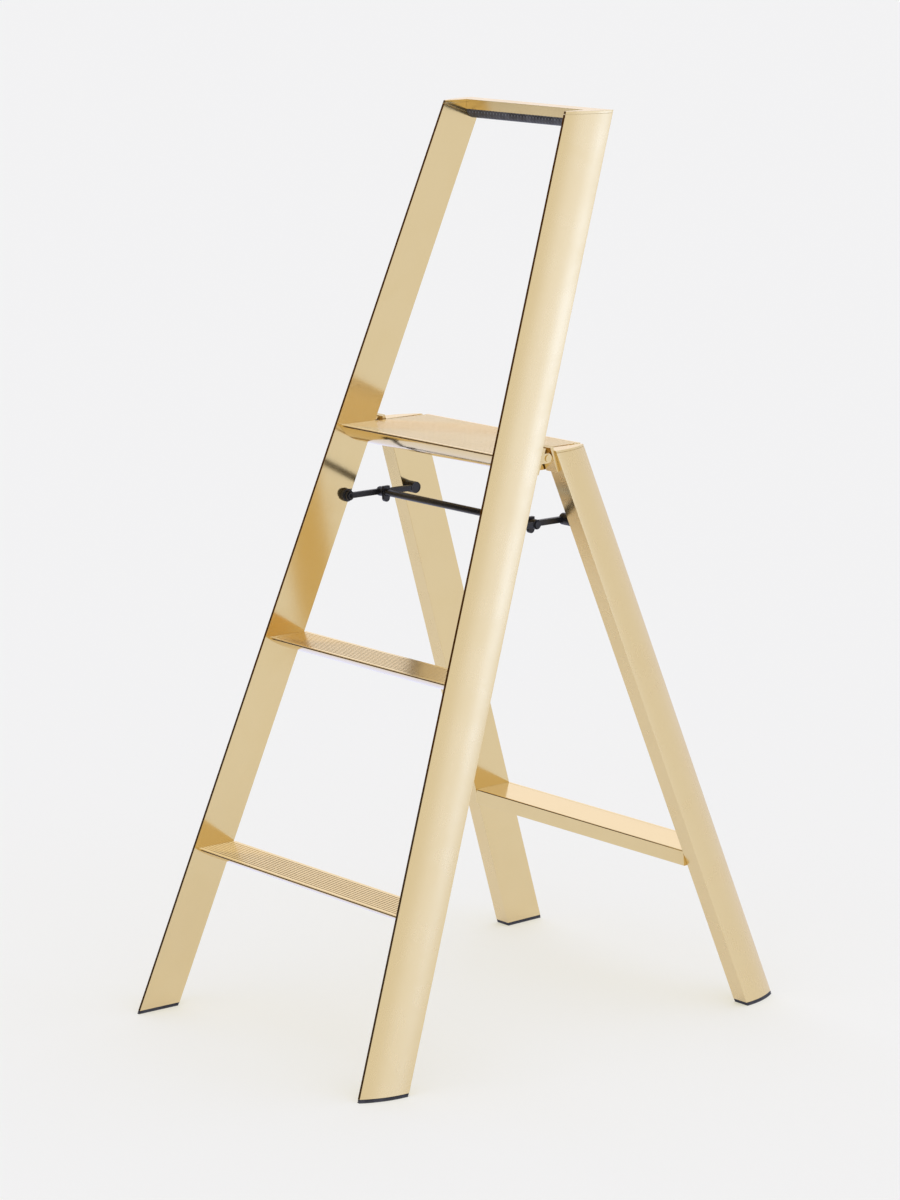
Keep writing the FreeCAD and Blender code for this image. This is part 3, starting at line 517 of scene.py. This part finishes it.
def make_crossbar(metal):
    """The rear crossbar: a tall face forward, a line scored in its top, and a bowed underside."""
    low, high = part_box("rear_crossbar")
    depth = high.y - low.y
    drop = low.z - high.z
    line_from_rear = 6 * MM
    line_width = 1 * MM
    line_depth = 0.4 * MM
    line_start = depth - line_from_rear
    corners = [(0, drop), (0, 0), (line_start, 0), (line_start + line_width / 2, -line_depth),
               (line_start + line_width, 0), (depth, 0), (depth, -NOSE, -RAIL_BOW)]
    piece = draw_between("crossbar_extrusion", REAR, low, high, corners)
    rims = [(low.y, low.z), (high.y, high.z), (high.y, high.z - NOSE)]
    round_corners(piece, CROSSBAR_RADIUS, lambda edge: lies_on(piece, edge, rims), segments=3)
    round_corners(piece, NOSE_RADIUS, lambda edge: lies_on(piece, edge, [(low.y, high.z)]), segments=5)
    finish_piece(piece, "rear_frame", "anodised_tread", "rear_crossbar")
    paint(piece, metal["crossbar"])


# ---- hoop ----

def make_top_bar(metal):
    """The hoop's bar: a flat bar with a shallow channel in its underside, above the grip."""
    low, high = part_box("top_bar")
    depth = high.y - low.y
    drop = low.z - high.z
    lip = 1.2 * MM
    corners = [(0, drop), (0, 0), (depth, 0), (depth, drop), (depth - lip, drop),
               (depth - lip, drop + lip), (lip, drop + lip), (lip, drop)]
    piece = draw_between("top_bar_extrusion", FRONT, low, high, corners)
    round_corners(piece, BAR_RADIUS, lambda edge: is_corner(edge) and edge.calc_length() > high.x, segments=3)
    finish_piece(piece, "front_frame", "anodised_tread", "top_bar")
    paint(piece, metal["top_bar"])


def make_grip(rubber):
    """The rubber grip under the bar, with ridges along its rounded underside."""
    low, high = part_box("top_grip")
    depth = high.y - low.y
    side_height = 5 * MM
    bow = 15 * MM
    ridges = 14
    ridge_height = 0.5 * MM
    start = Vector((depth, -side_height))
    end = Vector((0, -side_height))
    centre, sweep, _ = arc_of(start, end, -bow)
    first = math.atan2(start.y - centre.y, start.x - centre.x)
    corners = [(0, 0), (depth, 0), (depth, -side_height)]
    for index in range(1, ridges * 2):
        angle = first + sweep * index / (ridges * 2)
        radius = bow - (ridge_height if index % 2 else 0)
        corners.append((centre.x + radius * math.cos(angle), centre.y + radius * math.sin(angle)))
    corners.append((0, -side_height))
    piece = draw_between("grip_rubber", FRONT, low, high, corners)
    round_corners(piece, GRIP_RADIUS, lambda edge: is_corner(edge) and edge.calc_length() > high.x)
    finish_piece(piece, "front_frame", "black_rubber", "top_grip")
    paint(piece, rubber)


# ---- hinges ----

def make_hinges(metal):
    """The cast hinge halves, each a copy of its CAD node with its edges rounded."""
    for name, _ in SIDES:
        for node, body in (("hinge_bracket_", "front_frame"), ("hinge_lug_", "rear_frame")):
            source = frame["nodes"][node + name]
            bpy.ops.object.select_all(action="DESELECT")
            casting = source.copy()
            casting.data = source.data.copy()
            casting.parent = None
            casting.name = node + "casting_" + name
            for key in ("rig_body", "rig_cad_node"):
                if key in casting:
                    del casting[key]
            bpy.context.scene.collection.objects.link(casting)
            bpy.context.view_layer.objects.active = casting
            casting.select_set(True)
            bpy.ops.object.mode_set(mode="EDIT")
            bpy.ops.mesh.select_all(action="SELECT")
            bpy.ops.mesh.remove_doubles(threshold=MERGE)
            bpy.ops.mesh.dissolve_limited(angle_limit=math.radians(1))
            round_corners(casting, CASTING_RADIUS)
            finish_piece(casting, body, "anodised_casting", node + name)
            paint(casting, metal["casting"])


# ---- stays ----

def reach_from_middle(node):
    """A node's least and greatest distance from the middle plane."""
    low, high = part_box(node)
    return sorted((abs(low.x), abs(high.x)))


def add_plate(name, side, near, far, corners):
    """A flat plate in the plane of a stay's motion, drawn across depth and height round the pivots' level."""
    piece = draw_section(name, upright_plane(near * side, 0, STAY_HEIGHT), corners)
    draw_out(Vector(((far - near) * side, 0, 0)))
    return piece


def mould_ends(piece, way, steps):
    """Mould steps into the faces that look along X: one way, or both where way is 0."""
    pick_faces(piece, lambda face: (face.normal.x * way if way else abs(face.normal.x)) > SQUARE_ON)
    for width, rise in steps:
        inset(width, rise)


def slim_link(name, side, node, from_y, to_y, from_radius, to_radius):
    """A moulded link: two round eyes, a slim bar between them and a sunk panel in its face."""
    near, far = reach_from_middle(node)
    half = LINK_WAIST / 2
    start = from_y + math.sqrt(from_radius ** 2 - half ** 2)
    end = to_y - math.sqrt(to_radius ** 2 - half ** 2)
    bar = add_plate(name, side, near, far, [(start, -half), (end, -half), (end, half), (start, half)])
    mould_ends(bar, 0, LINK_PANEL)
    round_corners(bar, MOULDED_RADIUS)
    leave_edit(bar)
    eyes = []
    for index, (y, radius) in enumerate(((from_y, from_radius), (to_y, to_radius))):
        eye = add_rod("%s_eye_%d" % (name, index), side, near, far, y, STAY_HEIGHT, radius)
        mould_ends(eye, 0, EYE_RINGS)
        round_corners(eye, EYE_ROUNDING)
        eyes.append(leave_edit(eye))
    return join_pieces(name, bar, *eyes)


def make_front_anchor(name, side, y, plastic):
    """The stud on the rail: a base trimmed by the rail's face, a shaft, and a head inside the link."""
    node = "stay_anchor_front_" + name
    near, far = reach_from_middle(node)
    link_near, link_far = reach_from_middle("stay_link_front_" + name)
    base = add_rod("anchor_" + name, side, link_far + STAY_PLAY, far + PAST_FACE, y, STAY_HEIGHT, STUD_RADIUS)
    trim(*inner_plane(FRONT, side, GAP))
    mould_ends(base, -side, STUD_RINGS)
    round_corners(base, STUD_ROUNDING)
    leave_edit(base)
    head = add_rod("anchor_head_" + name, side, near, link_near - STAY_PLAY, y, STAY_HEIGHT, HEAD_RADIUS, 48)
    mould_ends(head, -side, HEAD_RINGS)
    round_corners(head, HEAD_ROUNDING)
    leave_edit(head)
    shaft = add_rod("anchor_shaft_" + name, side, near + SHAFT_START, far, y, STAY_HEIGHT, SHAFT_RADIUS, 32)
    leave_edit(shaft)
    anchor = join_pieces("anchor_" + name, base, head, shaft)
    finish_piece(anchor, "front_frame", "black_plastic", node)
    paint(anchor, plastic)


def make_rear_anchor(name, side, y, radius, plastic):
    """The boss on the leg, trimmed by the leg's face."""
    node = "stay_anchor_rear_" + name
    near, far = reach_from_middle(node)
    boss = add_rod("leg_boss_" + name, side, near, far + PAST_FACE, y, STAY_HEIGHT, radius)
    trim(*inner_plane(REAR, side, GAP))
    mould_ends(boss, -side, BOSS_RINGS)
    round_corners(boss, MOULDED_RADIUS)
    finish_piece(boss, "rear_frame", "black_plastic", node)
    paint(boss, plastic)


def make_knee_ear(name, side, plastic):
    """The ear that hangs below the knee, with a round toe."""
    node = "knee_ear_" + name
    low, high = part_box(node)
    near, far = reach_from_middle(node)
    half = (high.y - low.y) / 2
    toe = low.z + half - STAY_HEIGHT
    top = high.z - STAY_HEIGHT
    toe_bow = half * 1.0001            # a half circle, kept a hair wider than the ear
    ear = add_plate("knee_" + name, side, near, far,
                    [(-half, top), (-half, toe, toe_bow), (half, toe), (half, top)])
    mould_ends(ear, 0, EAR_PANEL)
    round_corners(ear, EAR_ROUNDING)
    finish_piece(ear, "stay_front", "black_plastic", node)
    paint(ear, plastic)


def make_lock_bar(tube):
    """The tube across the knees, open at both ends."""
    low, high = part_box("lock_bar")
    bar = add_rod("lock_tube", 1, low.x, high.x, 0, STAY_HEIGHT, (high.z - low.z) / 2, 72)
    for _, side in SIDES:
        mould_ends(bar, side, TUBE_BORE)
    round_corners(bar, TUBE_ROUNDING)
    finish_piece(bar, "stay_front", "black_tube", "lock_bar")
    paint(bar, tube)


def make_stays(plastic, tube):
    """Both folding stays, from the stud on the rail to the boss on the leg, and the bar between them."""
    for name, side in SIDES:
        low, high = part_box("stay_anchor_front_" + name)
        reach = -(low.y + high.y) / 2
        make_front_anchor(name, side, -reach, plastic)

        node = "stay_link_front_" + name
        front = slim_link("front_link_" + name, side, node, -reach, 0, EYE_RADIUS, EYE_RADIUS)
        finish_piece(front, "stay_front", "black_plastic", node)
        paint(front, plastic)

        node = "stay_link_rear_" + name
        low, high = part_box(node)
        boss_radius = (high.z - low.z) / 2
        rear = slim_link("rear_link_" + name, side, node, 0, reach, EYE_RADIUS, boss_radius)
        finish_piece(rear, "stay_rear", "black_plastic", node)
        paint(rear, plastic)

        make_rear_anchor(name, side, reach, boss_radius, plastic)
        make_knee_ear(name, side, plastic)
    make_lock_bar(tube)


# ---- materials ----

def node_group(name, inputs, outputs):
    """A shader node group with its sockets; gives the tree, its input node and its output node."""
    group = bpy.data.node_groups.new(name, "ShaderNodeTree")
    for label, kind, value in inputs:
        socket = group.interface.new_socket(name=label, in_out="INPUT", socket_type=kind)
        if value is not None:
            socket.default_value = value
    for label, kind in outputs:
        group.interface.new_socket(name=label, in_out="OUTPUT", socket_type=kind)
    return group, group.nodes.new("NodeGroupInput"), group.nodes.new("NodeGroupOutput")


def add_node(tree, kind, values=None, **settings):
    """A node with its settings, and the values of its unlinked inputs by name or number."""
    node = tree.nodes.new(kind)
    for key, value in settings.items():
        setattr(node, key, value)
    for key, value in (values or {}).items():
        node.inputs[key].default_value = value
    return node


def make_grain_group():
    """Fine drawn grain: streaks along the extrusion, with a soft satin speckle between them."""
    group, given, out = node_group(
        "drawn_grain",
        [("Vector", "NodeSocketVector", None), ("Fineness", "NodeSocketFloat", 420.0),
         ("Speckle", "NodeSocketFloat", 0.3)],
        [("Height", "NodeSocketFloat"), ("Streak", "NodeSocketFloat")])
    link = group.links.new
    streak = add_node(group, "ShaderNodeTexNoise", {"Detail": 3.0, "Roughness": 0.6})
    link(given.outputs["Vector"], streak.inputs["Vector"])
    link(given.outputs["Fineness"], streak.inputs["Scale"])
    speckle_scale = add_node(group, "ShaderNodeMath", {1: 3.0}, operation="MULTIPLY")
    link(given.outputs["Fineness"], speckle_scale.inputs[0])
    speckle = add_node(group, "ShaderNodeTexNoise", {"Detail": 1.0})
    link(given.outputs["Vector"], speckle.inputs["Vector"])
    link(speckle_scale.outputs[0], speckle.inputs["Scale"])
    blend = add_node(group, "ShaderNodeMix", data_type="FLOAT")
    link(given.outputs["Speckle"], blend.inputs[0])
    link(streak.outputs["Fac"], blend.inputs[FLOAT_A])
    link(speckle.outputs["Fac"], blend.inputs[FLOAT_B])
    link(blend.outputs[0], out.inputs["Height"])
    link(streak.outputs["Fac"], out.inputs["Streak"])
    return group


def make_handling_group():
    """Where hands and shoes have been: broad soft smudges and a few fine scratches."""
    group, given, out = node_group(
        "handling_marks",
        [("Vector", "NodeSocketVector", None), ("Size", "NodeSocketFloat", 14.0)],
        [("Smudge", "NodeSocketFloat"), ("Scratch", "NodeSocketFloat")])
    link = group.links.new
    smudge = add_node(group, "ShaderNodeTexNoise", {"Detail": 4.0, "Roughness": 0.55, "Distortion": 0.4})
    link(given.outputs["Vector"], smudge.inputs["Vector"])
    link(given.outputs["Size"], smudge.inputs["Scale"])
    spread = add_node(group, "ShaderNodeMapRange", {"From Min": 0.42, "From Max": 0.72})
    link(smudge.outputs["Fac"], spread.inputs["Value"])
    link(spread.outputs["Result"], out.inputs["Smudge"])
    turn = add_node(group, "ShaderNodeMapping", {"Rotation": (0.6, 0.4, 0.9), "Scale": (260.0, 18.0, 40.0)})
    link(given.outputs["Vector"], turn.inputs["Vector"])
    hair = add_node(group, "ShaderNodeTexNoise", {"Scale": 1.0, "Detail": 2.0})
    link(turn.outputs["Vector"], hair.inputs["Vector"])
    thin = add_node(group, "ShaderNodeMapRange", {"From Min": 0.70, "From Max": 0.76})
    link(hair.outputs["Fac"], thin.inputs["Value"])
    link(thin.outputs["Result"], out.inputs["Scratch"])
    return group


def anodised(name, groups, light, deep, roughness, turn, stretch, grain=0.004, speckle=0.15, spread=0.015):
    """Gold-anodised aluminium: metal with a drawn grain that runs the way the piece was extruded."""
    smudge_tone = 0.35
    streak_tone = 0.15
    smudge_roughness = 0.03
    scratch_roughness = 0.04
    material = bpy.data.materials.new(name)
    material.use_nodes = True
    tree = material.node_tree
    link = tree.links.new
    shader = tree.nodes["Principled BSDF"]
    shader.inputs["Metallic"].default_value = 1.0
    shader.inputs["Specular IOR Level"].default_value = 0.5
    place = add_node(tree, "ShaderNodeTexCoord")
    along = add_node(tree, "ShaderNodeMapping", {"Rotation": turn, "Scale": stretch}, vector_type="TEXTURE")
    link(place.outputs["Object"], along.inputs["Vector"])
    fine = add_node(tree, "ShaderNodeGroup", node_tree=groups["grain"])
    fine.inputs["Speckle"].default_value = speckle
    link(along.outputs["Vector"], fine.inputs["Vector"])
    marks = add_node(tree, "ShaderNodeGroup", node_tree=groups["handling"])
    link(place.outputs["Object"], marks.inputs["Vector"])

    tone = add_node(tree, "ShaderNodeMix", {COLOUR_A: (*light, 1.0), COLOUR_B: (*deep, 1.0)},
                    data_type="RGBA")
    cloud = add_node(tree, "ShaderNodeMath", {1: smudge_tone}, operation="MULTIPLY")
    link(marks.outputs["Smudge"], cloud.inputs[0])
    shade = add_node(tree, "ShaderNodeMath", {1: streak_tone}, operation="MULTIPLY_ADD")
    link(fine.outputs["Streak"], shade.inputs[0])
    link(cloud.outputs[0], shade.inputs[2])
    link(shade.outputs[0], tone.inputs[0])
    link(tone.outputs[COLOUR_OUT], shader.inputs["Base Color"])

    satin = add_node(tree, "ShaderNodeMapRange", {"To Min": roughness - spread, "To Max": roughness + spread})
    link(fine.outputs["Streak"], satin.inputs["Value"])
    worn = add_node(tree, "ShaderNodeMath", {1: smudge_roughness}, operation="MULTIPLY_ADD")
    link(marks.outputs["Smudge"], worn.inputs[0])
    link(satin.outputs["Result"], worn.inputs[2])
    scratched = add_node(tree, "ShaderNodeMath", {1: scratch_roughness}, operation="MULTIPLY_ADD")
    link(marks.outputs["Scratch"], scratched.inputs[0])
    link(worn.outputs[0], scratched.inputs[2])
    link(scratched.outputs[0], shader.inputs["Roughness"])

    bump = add_node(tree, "ShaderNodeBump", {"Strength": grain, "Distance": 0.05 * MM})
    link(fine.outputs["Height"], bump.inputs["Height"])
    link(bump.outputs["Normal"], shader.inputs["Normal"])
    return material


def moulded(name, groups, dark, dust_and_sheen, roughness, bumpiness, dust_height=0.0, knurl=False):
    """Black rubber or nylon: a fine moulded skin, with dust near the floor and, for a grip, a fine knurl
    whose ridges are painted lighter as a painted highlight.
    """
    smudge_tone = 0.35
    floor_dust = 0.5
    knurl_scale = 95.0
    knurl_height = 9.0
    material = bpy.data.materials.new(name)
    material.use_nodes = True
    tree = material.node_tree
    link = tree.links.new
    shader = tree.nodes["Principled BSDF"]
    shader.inputs["Specular IOR Level"].default_value = 0.45
    shader.inputs["Specular Tint"].default_value = (1.0, 0.9, 0.68, 1.0)
    place = add_node(tree, "ShaderNodeTexCoord")
    skin = add_node(tree, "ShaderNodeTexNoise", {"Scale": 1400.0, "Detail": 3.0})
    link(place.outputs["Object"], skin.inputs["Vector"])
    marks = add_node(tree, "ShaderNodeGroup", node_tree=groups["handling"])
    marks.inputs["Size"].default_value = 60.0
    link(place.outputs["Object"], marks.inputs["Vector"])
    mask = add_node(tree, "ShaderNodeMath", {1: smudge_tone}, operation="MULTIPLY")
    link(marks.outputs["Smudge"], mask.inputs[0])
    share = mask.outputs[0]
    if dust_height:
        split = add_node(tree, "ShaderNodeSeparateXYZ")
        link(place.outputs["Object"], split.inputs[0])
        low = add_node(tree, "ShaderNodeMapRange",
                       {"From Min": dust_height, "From Max": 0.0, "To Max": floor_dust})
        link(split.outputs["Z"], low.inputs["Value"])
        both = add_node(tree, "ShaderNodeMath", operation="ADD", use_clamp=True)
        link(share, both.inputs[0])
        link(low.outputs["Result"], both.inputs[1])
        share = both.outputs[0]
    # the lighter tone is dust and smudges, and on a grip also the painted highlight on the knurl's ridges
    tone = add_node(tree, "ShaderNodeMix", {COLOUR_A: (*dark, 1.0), COLOUR_B: (*dust_and_sheen, 1.0)},
                    data_type="RGBA")
    link(share, tone.inputs[0])
    link(tone.outputs[COLOUR_OUT], shader.inputs["Base Color"])
    rough = add_node(tree, "ShaderNodeMapRange", {"To Min": roughness - 0.08, "To Max": roughness + 0.1})
    link(skin.outputs["Fac"], rough.inputs["Value"])
    link(rough.outputs["Result"], shader.inputs["Roughness"])
    height = skin.outputs["Fac"]
    if knurl:
        cuts = []
        for way in (1.0, -1.0):
            turn = add_node(tree, "ShaderNodeMapping", {"Scale": (way, 1.0, 1.0)})
            link(place.outputs["Object"], turn.inputs["Vector"])
            cut = add_node(tree, "ShaderNodeTexWave", {"Scale": knurl_scale}, bands_direction="DIAGONAL")
            link(turn.outputs["Vector"], cut.inputs["Vector"])
            cuts.append(cut)
        ridges = add_node(tree, "ShaderNodeMath", operation="MINIMUM")
        link(cuts[0].outputs["Fac"], ridges.inputs[0])
        link(cuts[1].outputs["Fac"], ridges.inputs[1])
        blend = add_node(tree, "ShaderNodeMath", {1: knurl_height}, operation="MULTIPLY_ADD")
        link(ridges.outputs[0], blend.inputs[0])
        link(height, blend.inputs[2])
        height = blend.outputs[0]
        # painted highlight: the knurl's ridges are mixed toward the lighter tone, as if light caught them
        painted_ridge_highlight = add_node(tree, "ShaderNodeMath", operation="ADD", use_clamp=True)
        link(ridges.outputs[0], painted_ridge_highlight.inputs[0])
        link(share, painted_ridge_highlight.inputs[1])
        link(painted_ridge_highlight.outputs[0], tone.inputs[0])
    bump = add_node(tree, "ShaderNodeBump", {"Strength": bumpiness, "Distance": 0.1 * MM})
    link(height, bump.inputs["Height"])
    link(bump.outputs["Normal"], shader.inputs["Normal"])
    return material


def plated(name, groups, colour, roughness):
    """Zinc-plated steel for the screws."""
    smudged = tuple(channel * 0.8 for channel in colour)
    return anodised(name, groups, colour, smudged, roughness, (0, 0, 0), (1.0, 1.0, 1.0),
                    grain=0.03, speckle=0.6)


def make_materials():
    """The metals by the faces they go on, and the rubbers and plastics by the pieces they go on."""
    groups = {"grain": make_grain_group(), "handling": make_handling_group()}
    gold = (0.80, 0.60, 0.26)
    deep = (0.775, 0.57, 0.23)
    front_turn = (-LEAN, 0, 0)
    rear_turn = (LEAN, 0, 0)
    upright = (40.0, 1.0, 70.0)
    level = (70.0, 1.0, 1.0)
    even = (1.0, 1.0, 1.0)
    flat_turn = (0, 0, 0)
    metal = {
        "rail_outside": anodised("satin_gold_rail", groups, gold, deep, 0.27, front_turn, upright),
        "rail_inside": anodised("polished_gold_rail", groups, gold, deep, 0.12, front_turn, upright, 0.006),
        "rail_edge": anodised("polished_gold_edge", groups, gold, deep, 0.06, front_turn, upright, 0.003),
        "leg_outside": anodised("satin_gold_leg", groups, gold, deep, 0.26, rear_turn, upright),
        "leg_inside": anodised("polished_gold_leg", groups, gold, deep, 0.12, rear_turn, upright, 0.006),
        "tread_top": anodised("ribbed_gold", groups, gold, deep, 0.22, flat_turn, level),
        "tread_under": anodised("gold_underside", groups, gold, deep, 0.12, flat_turn, level, 0.006),
        "crossbar": anodised("gold_crossbar", groups, gold, deep, 0.15, flat_turn, level),
        "top_bar": anodised("gold_top_bar", groups, gold, deep, 0.24, flat_turn, level),
        "casting": anodised("gold_casting", groups, gold, deep, 0.24, flat_turn, even, 0.03, 0.8),
        "casting_inside": anodised("gold_casting_inside", groups, gold, deep, 0.14, flat_turn, even),
        "steel": plated("zinc_plated_steel", groups, (0.60, 0.60, 0.61), 0.3),
    }
    plain = {
        "shoe": moulded("shoe_rubber", groups, (0.012, 0.012, 0.013), (0.09, 0.085, 0.08), 0.6, 0.4, 4 * MM),
        # the grip's lighter grey is partly smudges and mostly a painted highlight on the knurl's ridges
        "grip": moulded("grip_rubber", groups, (0.008, 0.008, 0.008), (0.16, 0.16, 0.15), 0.42, 0.8, 0, True),
        "stay": moulded("black_nylon", groups, (0.008, 0.008, 0.008), (0.025, 0.024, 0.023), 0.38, 0.25),
        "tube": moulded("black_powder_coat", groups, (0.010, 0.010, 0.010), (0.02, 0.02, 0.02), 0.30, 0.12),
        "bush": moulded("grey_acetal", groups, (0.06, 0.06, 0.06), (0.1, 0.1, 0.1), 0.4, 0.2),
    }
    return metal, plain


# ---- camera, light, floor ----

def make_stage():
    """The white paper floor. It glows a little, so that its far part meets the pale background."""
    shown_glow = (0.477, 0.452, 0.315, 1)
    cast_glow = (0.46, 0.50, 0.71, 1)
    below_feet = 0.2 * MM
    bpy.ops.object.select_all(action="DESELECT")
    bpy.ops.mesh.primitive_circle_add(vertices=96, radius=60, fill_type="NGON", location=(0, 0, -below_feet))
    floor = bpy.context.object
    floor.name = "studio_floor"
    paper = bpy.data.materials.new("studio_paper")
    paper.use_nodes = True
    shader = paper.node_tree.nodes["Principled BSDF"]
    shader.inputs["Base Color"].default_value = (0.5, 0.5, 0.5, 1)
    shader.inputs["Emission Strength"].default_value = 1.0
    ray = add_node(paper.node_tree, "ShaderNodeLightPath")
    glow = add_node(paper.node_tree, "ShaderNodeMix", {COLOUR_A: cast_glow, COLOUR_B: shown_glow},
                    data_type="RGBA")
    paper.node_tree.links.new(ray.outputs["Is Camera Ray"], glow.inputs[0])
    paper.node_tree.links.new(glow.outputs[COLOUR_OUT], shader.inputs["Emission Color"])
    shader.inputs["Roughness"].default_value = 0.9
    shader.inputs["Specular IOR Level"].default_value = 0.0
    floor.data.materials.append(paper)


def soft_band(tree, direction, toward, start, full):
    """How far a direction lies within a soft-edged patch of the studio round another direction."""
    link = tree.links.new
    closeness = add_node(tree, "ShaderNodeVectorMath", {1: Vector(toward).normalized()},
                         operation="DOT_PRODUCT")
    link(direction, closeness.inputs[0])
    edge = add_node(tree, "ShaderNodeMapRange", {"From Min": start, "From Max": full},
                    interpolation_type="SMOOTHSTEP")
    link(closeness.outputs["Value"], edge.inputs["Value"])
    return edge.outputs["Result"]


def make_world():
    """A pale tent all round, with soft patches of light and one dark curtain, seen only in reflections.

    The strongest lamp stands low behind to the right, a weaker one higher at the right side, a faint glow
    behind to the left, and the dark brown curtain in front to the left.
    """
    world = bpy.data.worlds.new("pale_studio")
    bpy.context.scene.world = world
    world.use_nodes = True
    tree = world.node_tree
    link = tree.links.new
    back = tree.nodes["Background"]
    place = add_node(tree, "ShaderNodeTexCoord")
    direction = place.outputs["Generated"]
    seen = (0.888, 0.888, 0.888, 1)
    tent = (0.875, 0.925, 1.22, 1)
    lamp = (1.50, 1.96, 4.20, 1)
    side_lamp = (1.08, 1.24, 2.05, 1)
    rear_glow = (1.12, 1.10, 1.20, 1)
    curtain = (0.07, 0.035, 0.012, 1)
    colour = None
    for patch, toward, start, full in (
            (side_lamp, (0.95, 0.20, 0.28), 0.90, 0.99),
            (lamp, (0.88, 0.47, -0.03), 0.955, 0.996),
            (rear_glow, (-0.77, 0.63, 0.14), 0.90, 0.985),
            (curtain, (-0.77, -0.62, 0.14), 0.80, 0.85)):
        mix = add_node(tree, "ShaderNodeMix", {COLOUR_A: tent, COLOUR_B: patch}, data_type="RGBA")
        if colour:
            link(colour, mix.inputs[COLOUR_A])
        link(soft_band(tree, direction, toward, start, full), mix.inputs[0])
        colour = mix.outputs[COLOUR_OUT]
    ray = add_node(tree, "ShaderNodeLightPath")
    shown = add_node(tree, "ShaderNodeMix", {COLOUR_B: seen}, data_type="RGBA")
    link(ray.outputs["Is Camera Ray"], shown.inputs[0])
    link(colour, shown.inputs[COLOUR_A])
    link(shown.outputs[COLOUR_OUT], back.inputs["Color"])


def make_flag():
    """A dark flag beside the front feet, seen only in reflections: it draws the dark lines on the noses."""
    width = 1.3
    height = 0.75
    bpy.ops.object.select_all(action="DESELECT")
    bpy.ops.mesh.primitive_plane_add(size=1, location=(-1.05, -1.15, height / 2),
                                     rotation=(math.pi / 2, 0, math.radians(-50)))
    flag = bpy.context.object
    flag.name = "black_flag"
    flag.scale = (width, height, 1)
    bpy.ops.object.transform_apply(location=True, rotation=True, scale=True)
    cloth = bpy.data.materials.new("black_flag_cloth")
    cloth.use_nodes = True
    shader = cloth.node_tree.nodes["Principled BSDF"]
    shader.inputs["Base Color"].default_value = (0.05, 0.03, 0.015, 1)
    shader.inputs["Roughness"].default_value = 1.0
    flag.data.materials.append(cloth)
    for kind in ("camera", "diffuse", "shadow", "transmission", "volume_scatter"):
        setattr(flag, "visible_" + kind, False)


def make_camera():
    """The main view: from the right and in front, a little above the ladder's top, with a long lens."""
    tilt_down = math.radians(11.6869)
    turn = math.radians(50.2014)
    data = bpy.data.cameras.new("studio_camera")
    data.lens = 117.28
    data.sensor_width = 36
    data.clip_end = 200
    camera = bpy.data.objects.new("studio_camera", data)
    bpy.context.scene.collection.objects.link(camera)
    camera.location = (4.19627, -3.50838, 1.73282)
    camera.rotation_euler = (math.radians(90) - tilt_down, 0, turn)
    bpy.context.scene.camera = camera


# ---- put it together ----

def dress_hidden_nodes(metal, plain):
    """Materials for the small pieces that keep their own shape."""
    for node, piece in frame["nodes"].items():
        if "screws" in node:
            paint(piece, metal["steel"])
        elif node.startswith("hinge_pin"):
            paint(piece, metal["casting"])
        elif node.startswith("insert") or node.startswith("hinge_bush"):
            paint(piece, plain["bush"])
        elif node.startswith("knee_pin"):
            paint(piece, plain["stay"])


def main():
    """Set the stage, then model and dress every piece."""
    bpy.context.scene.view_settings.view_transform = "Standard"
    make_camera()
    make_world()
    make_stage()
    make_flag()
    metal, plain = make_materials()
    for name, side in SIDES:
        make_rail(name, side, metal)
        make_leg(name, side, metal)
        make_top_corner(name, side, metal)
        make_foot("rail_foot_" + name, side, FRONT, "front_frame", plain["shoe"])
        make_foot("leg_foot_" + name, side, REAR, "rear_frame", plain["shoe"])
    make_tread("tread_lower", WHOLE_DEPTH, RAIL_BOW, metal)
    make_tread("tread_middle", WHOLE_DEPTH, RAIL_BOW, metal)
    make_tread("platform_deck", PLATFORM_CURVE, PLATFORM_BOW, metal)
    make_crossbar(metal)
    make_top_bar(metal)
    make_grip(plain["grip"])
    make_hinges(metal)
    make_stays(plain["stay"], plain["tube"])
    dress_hidden_nodes(metal, plain)


main()
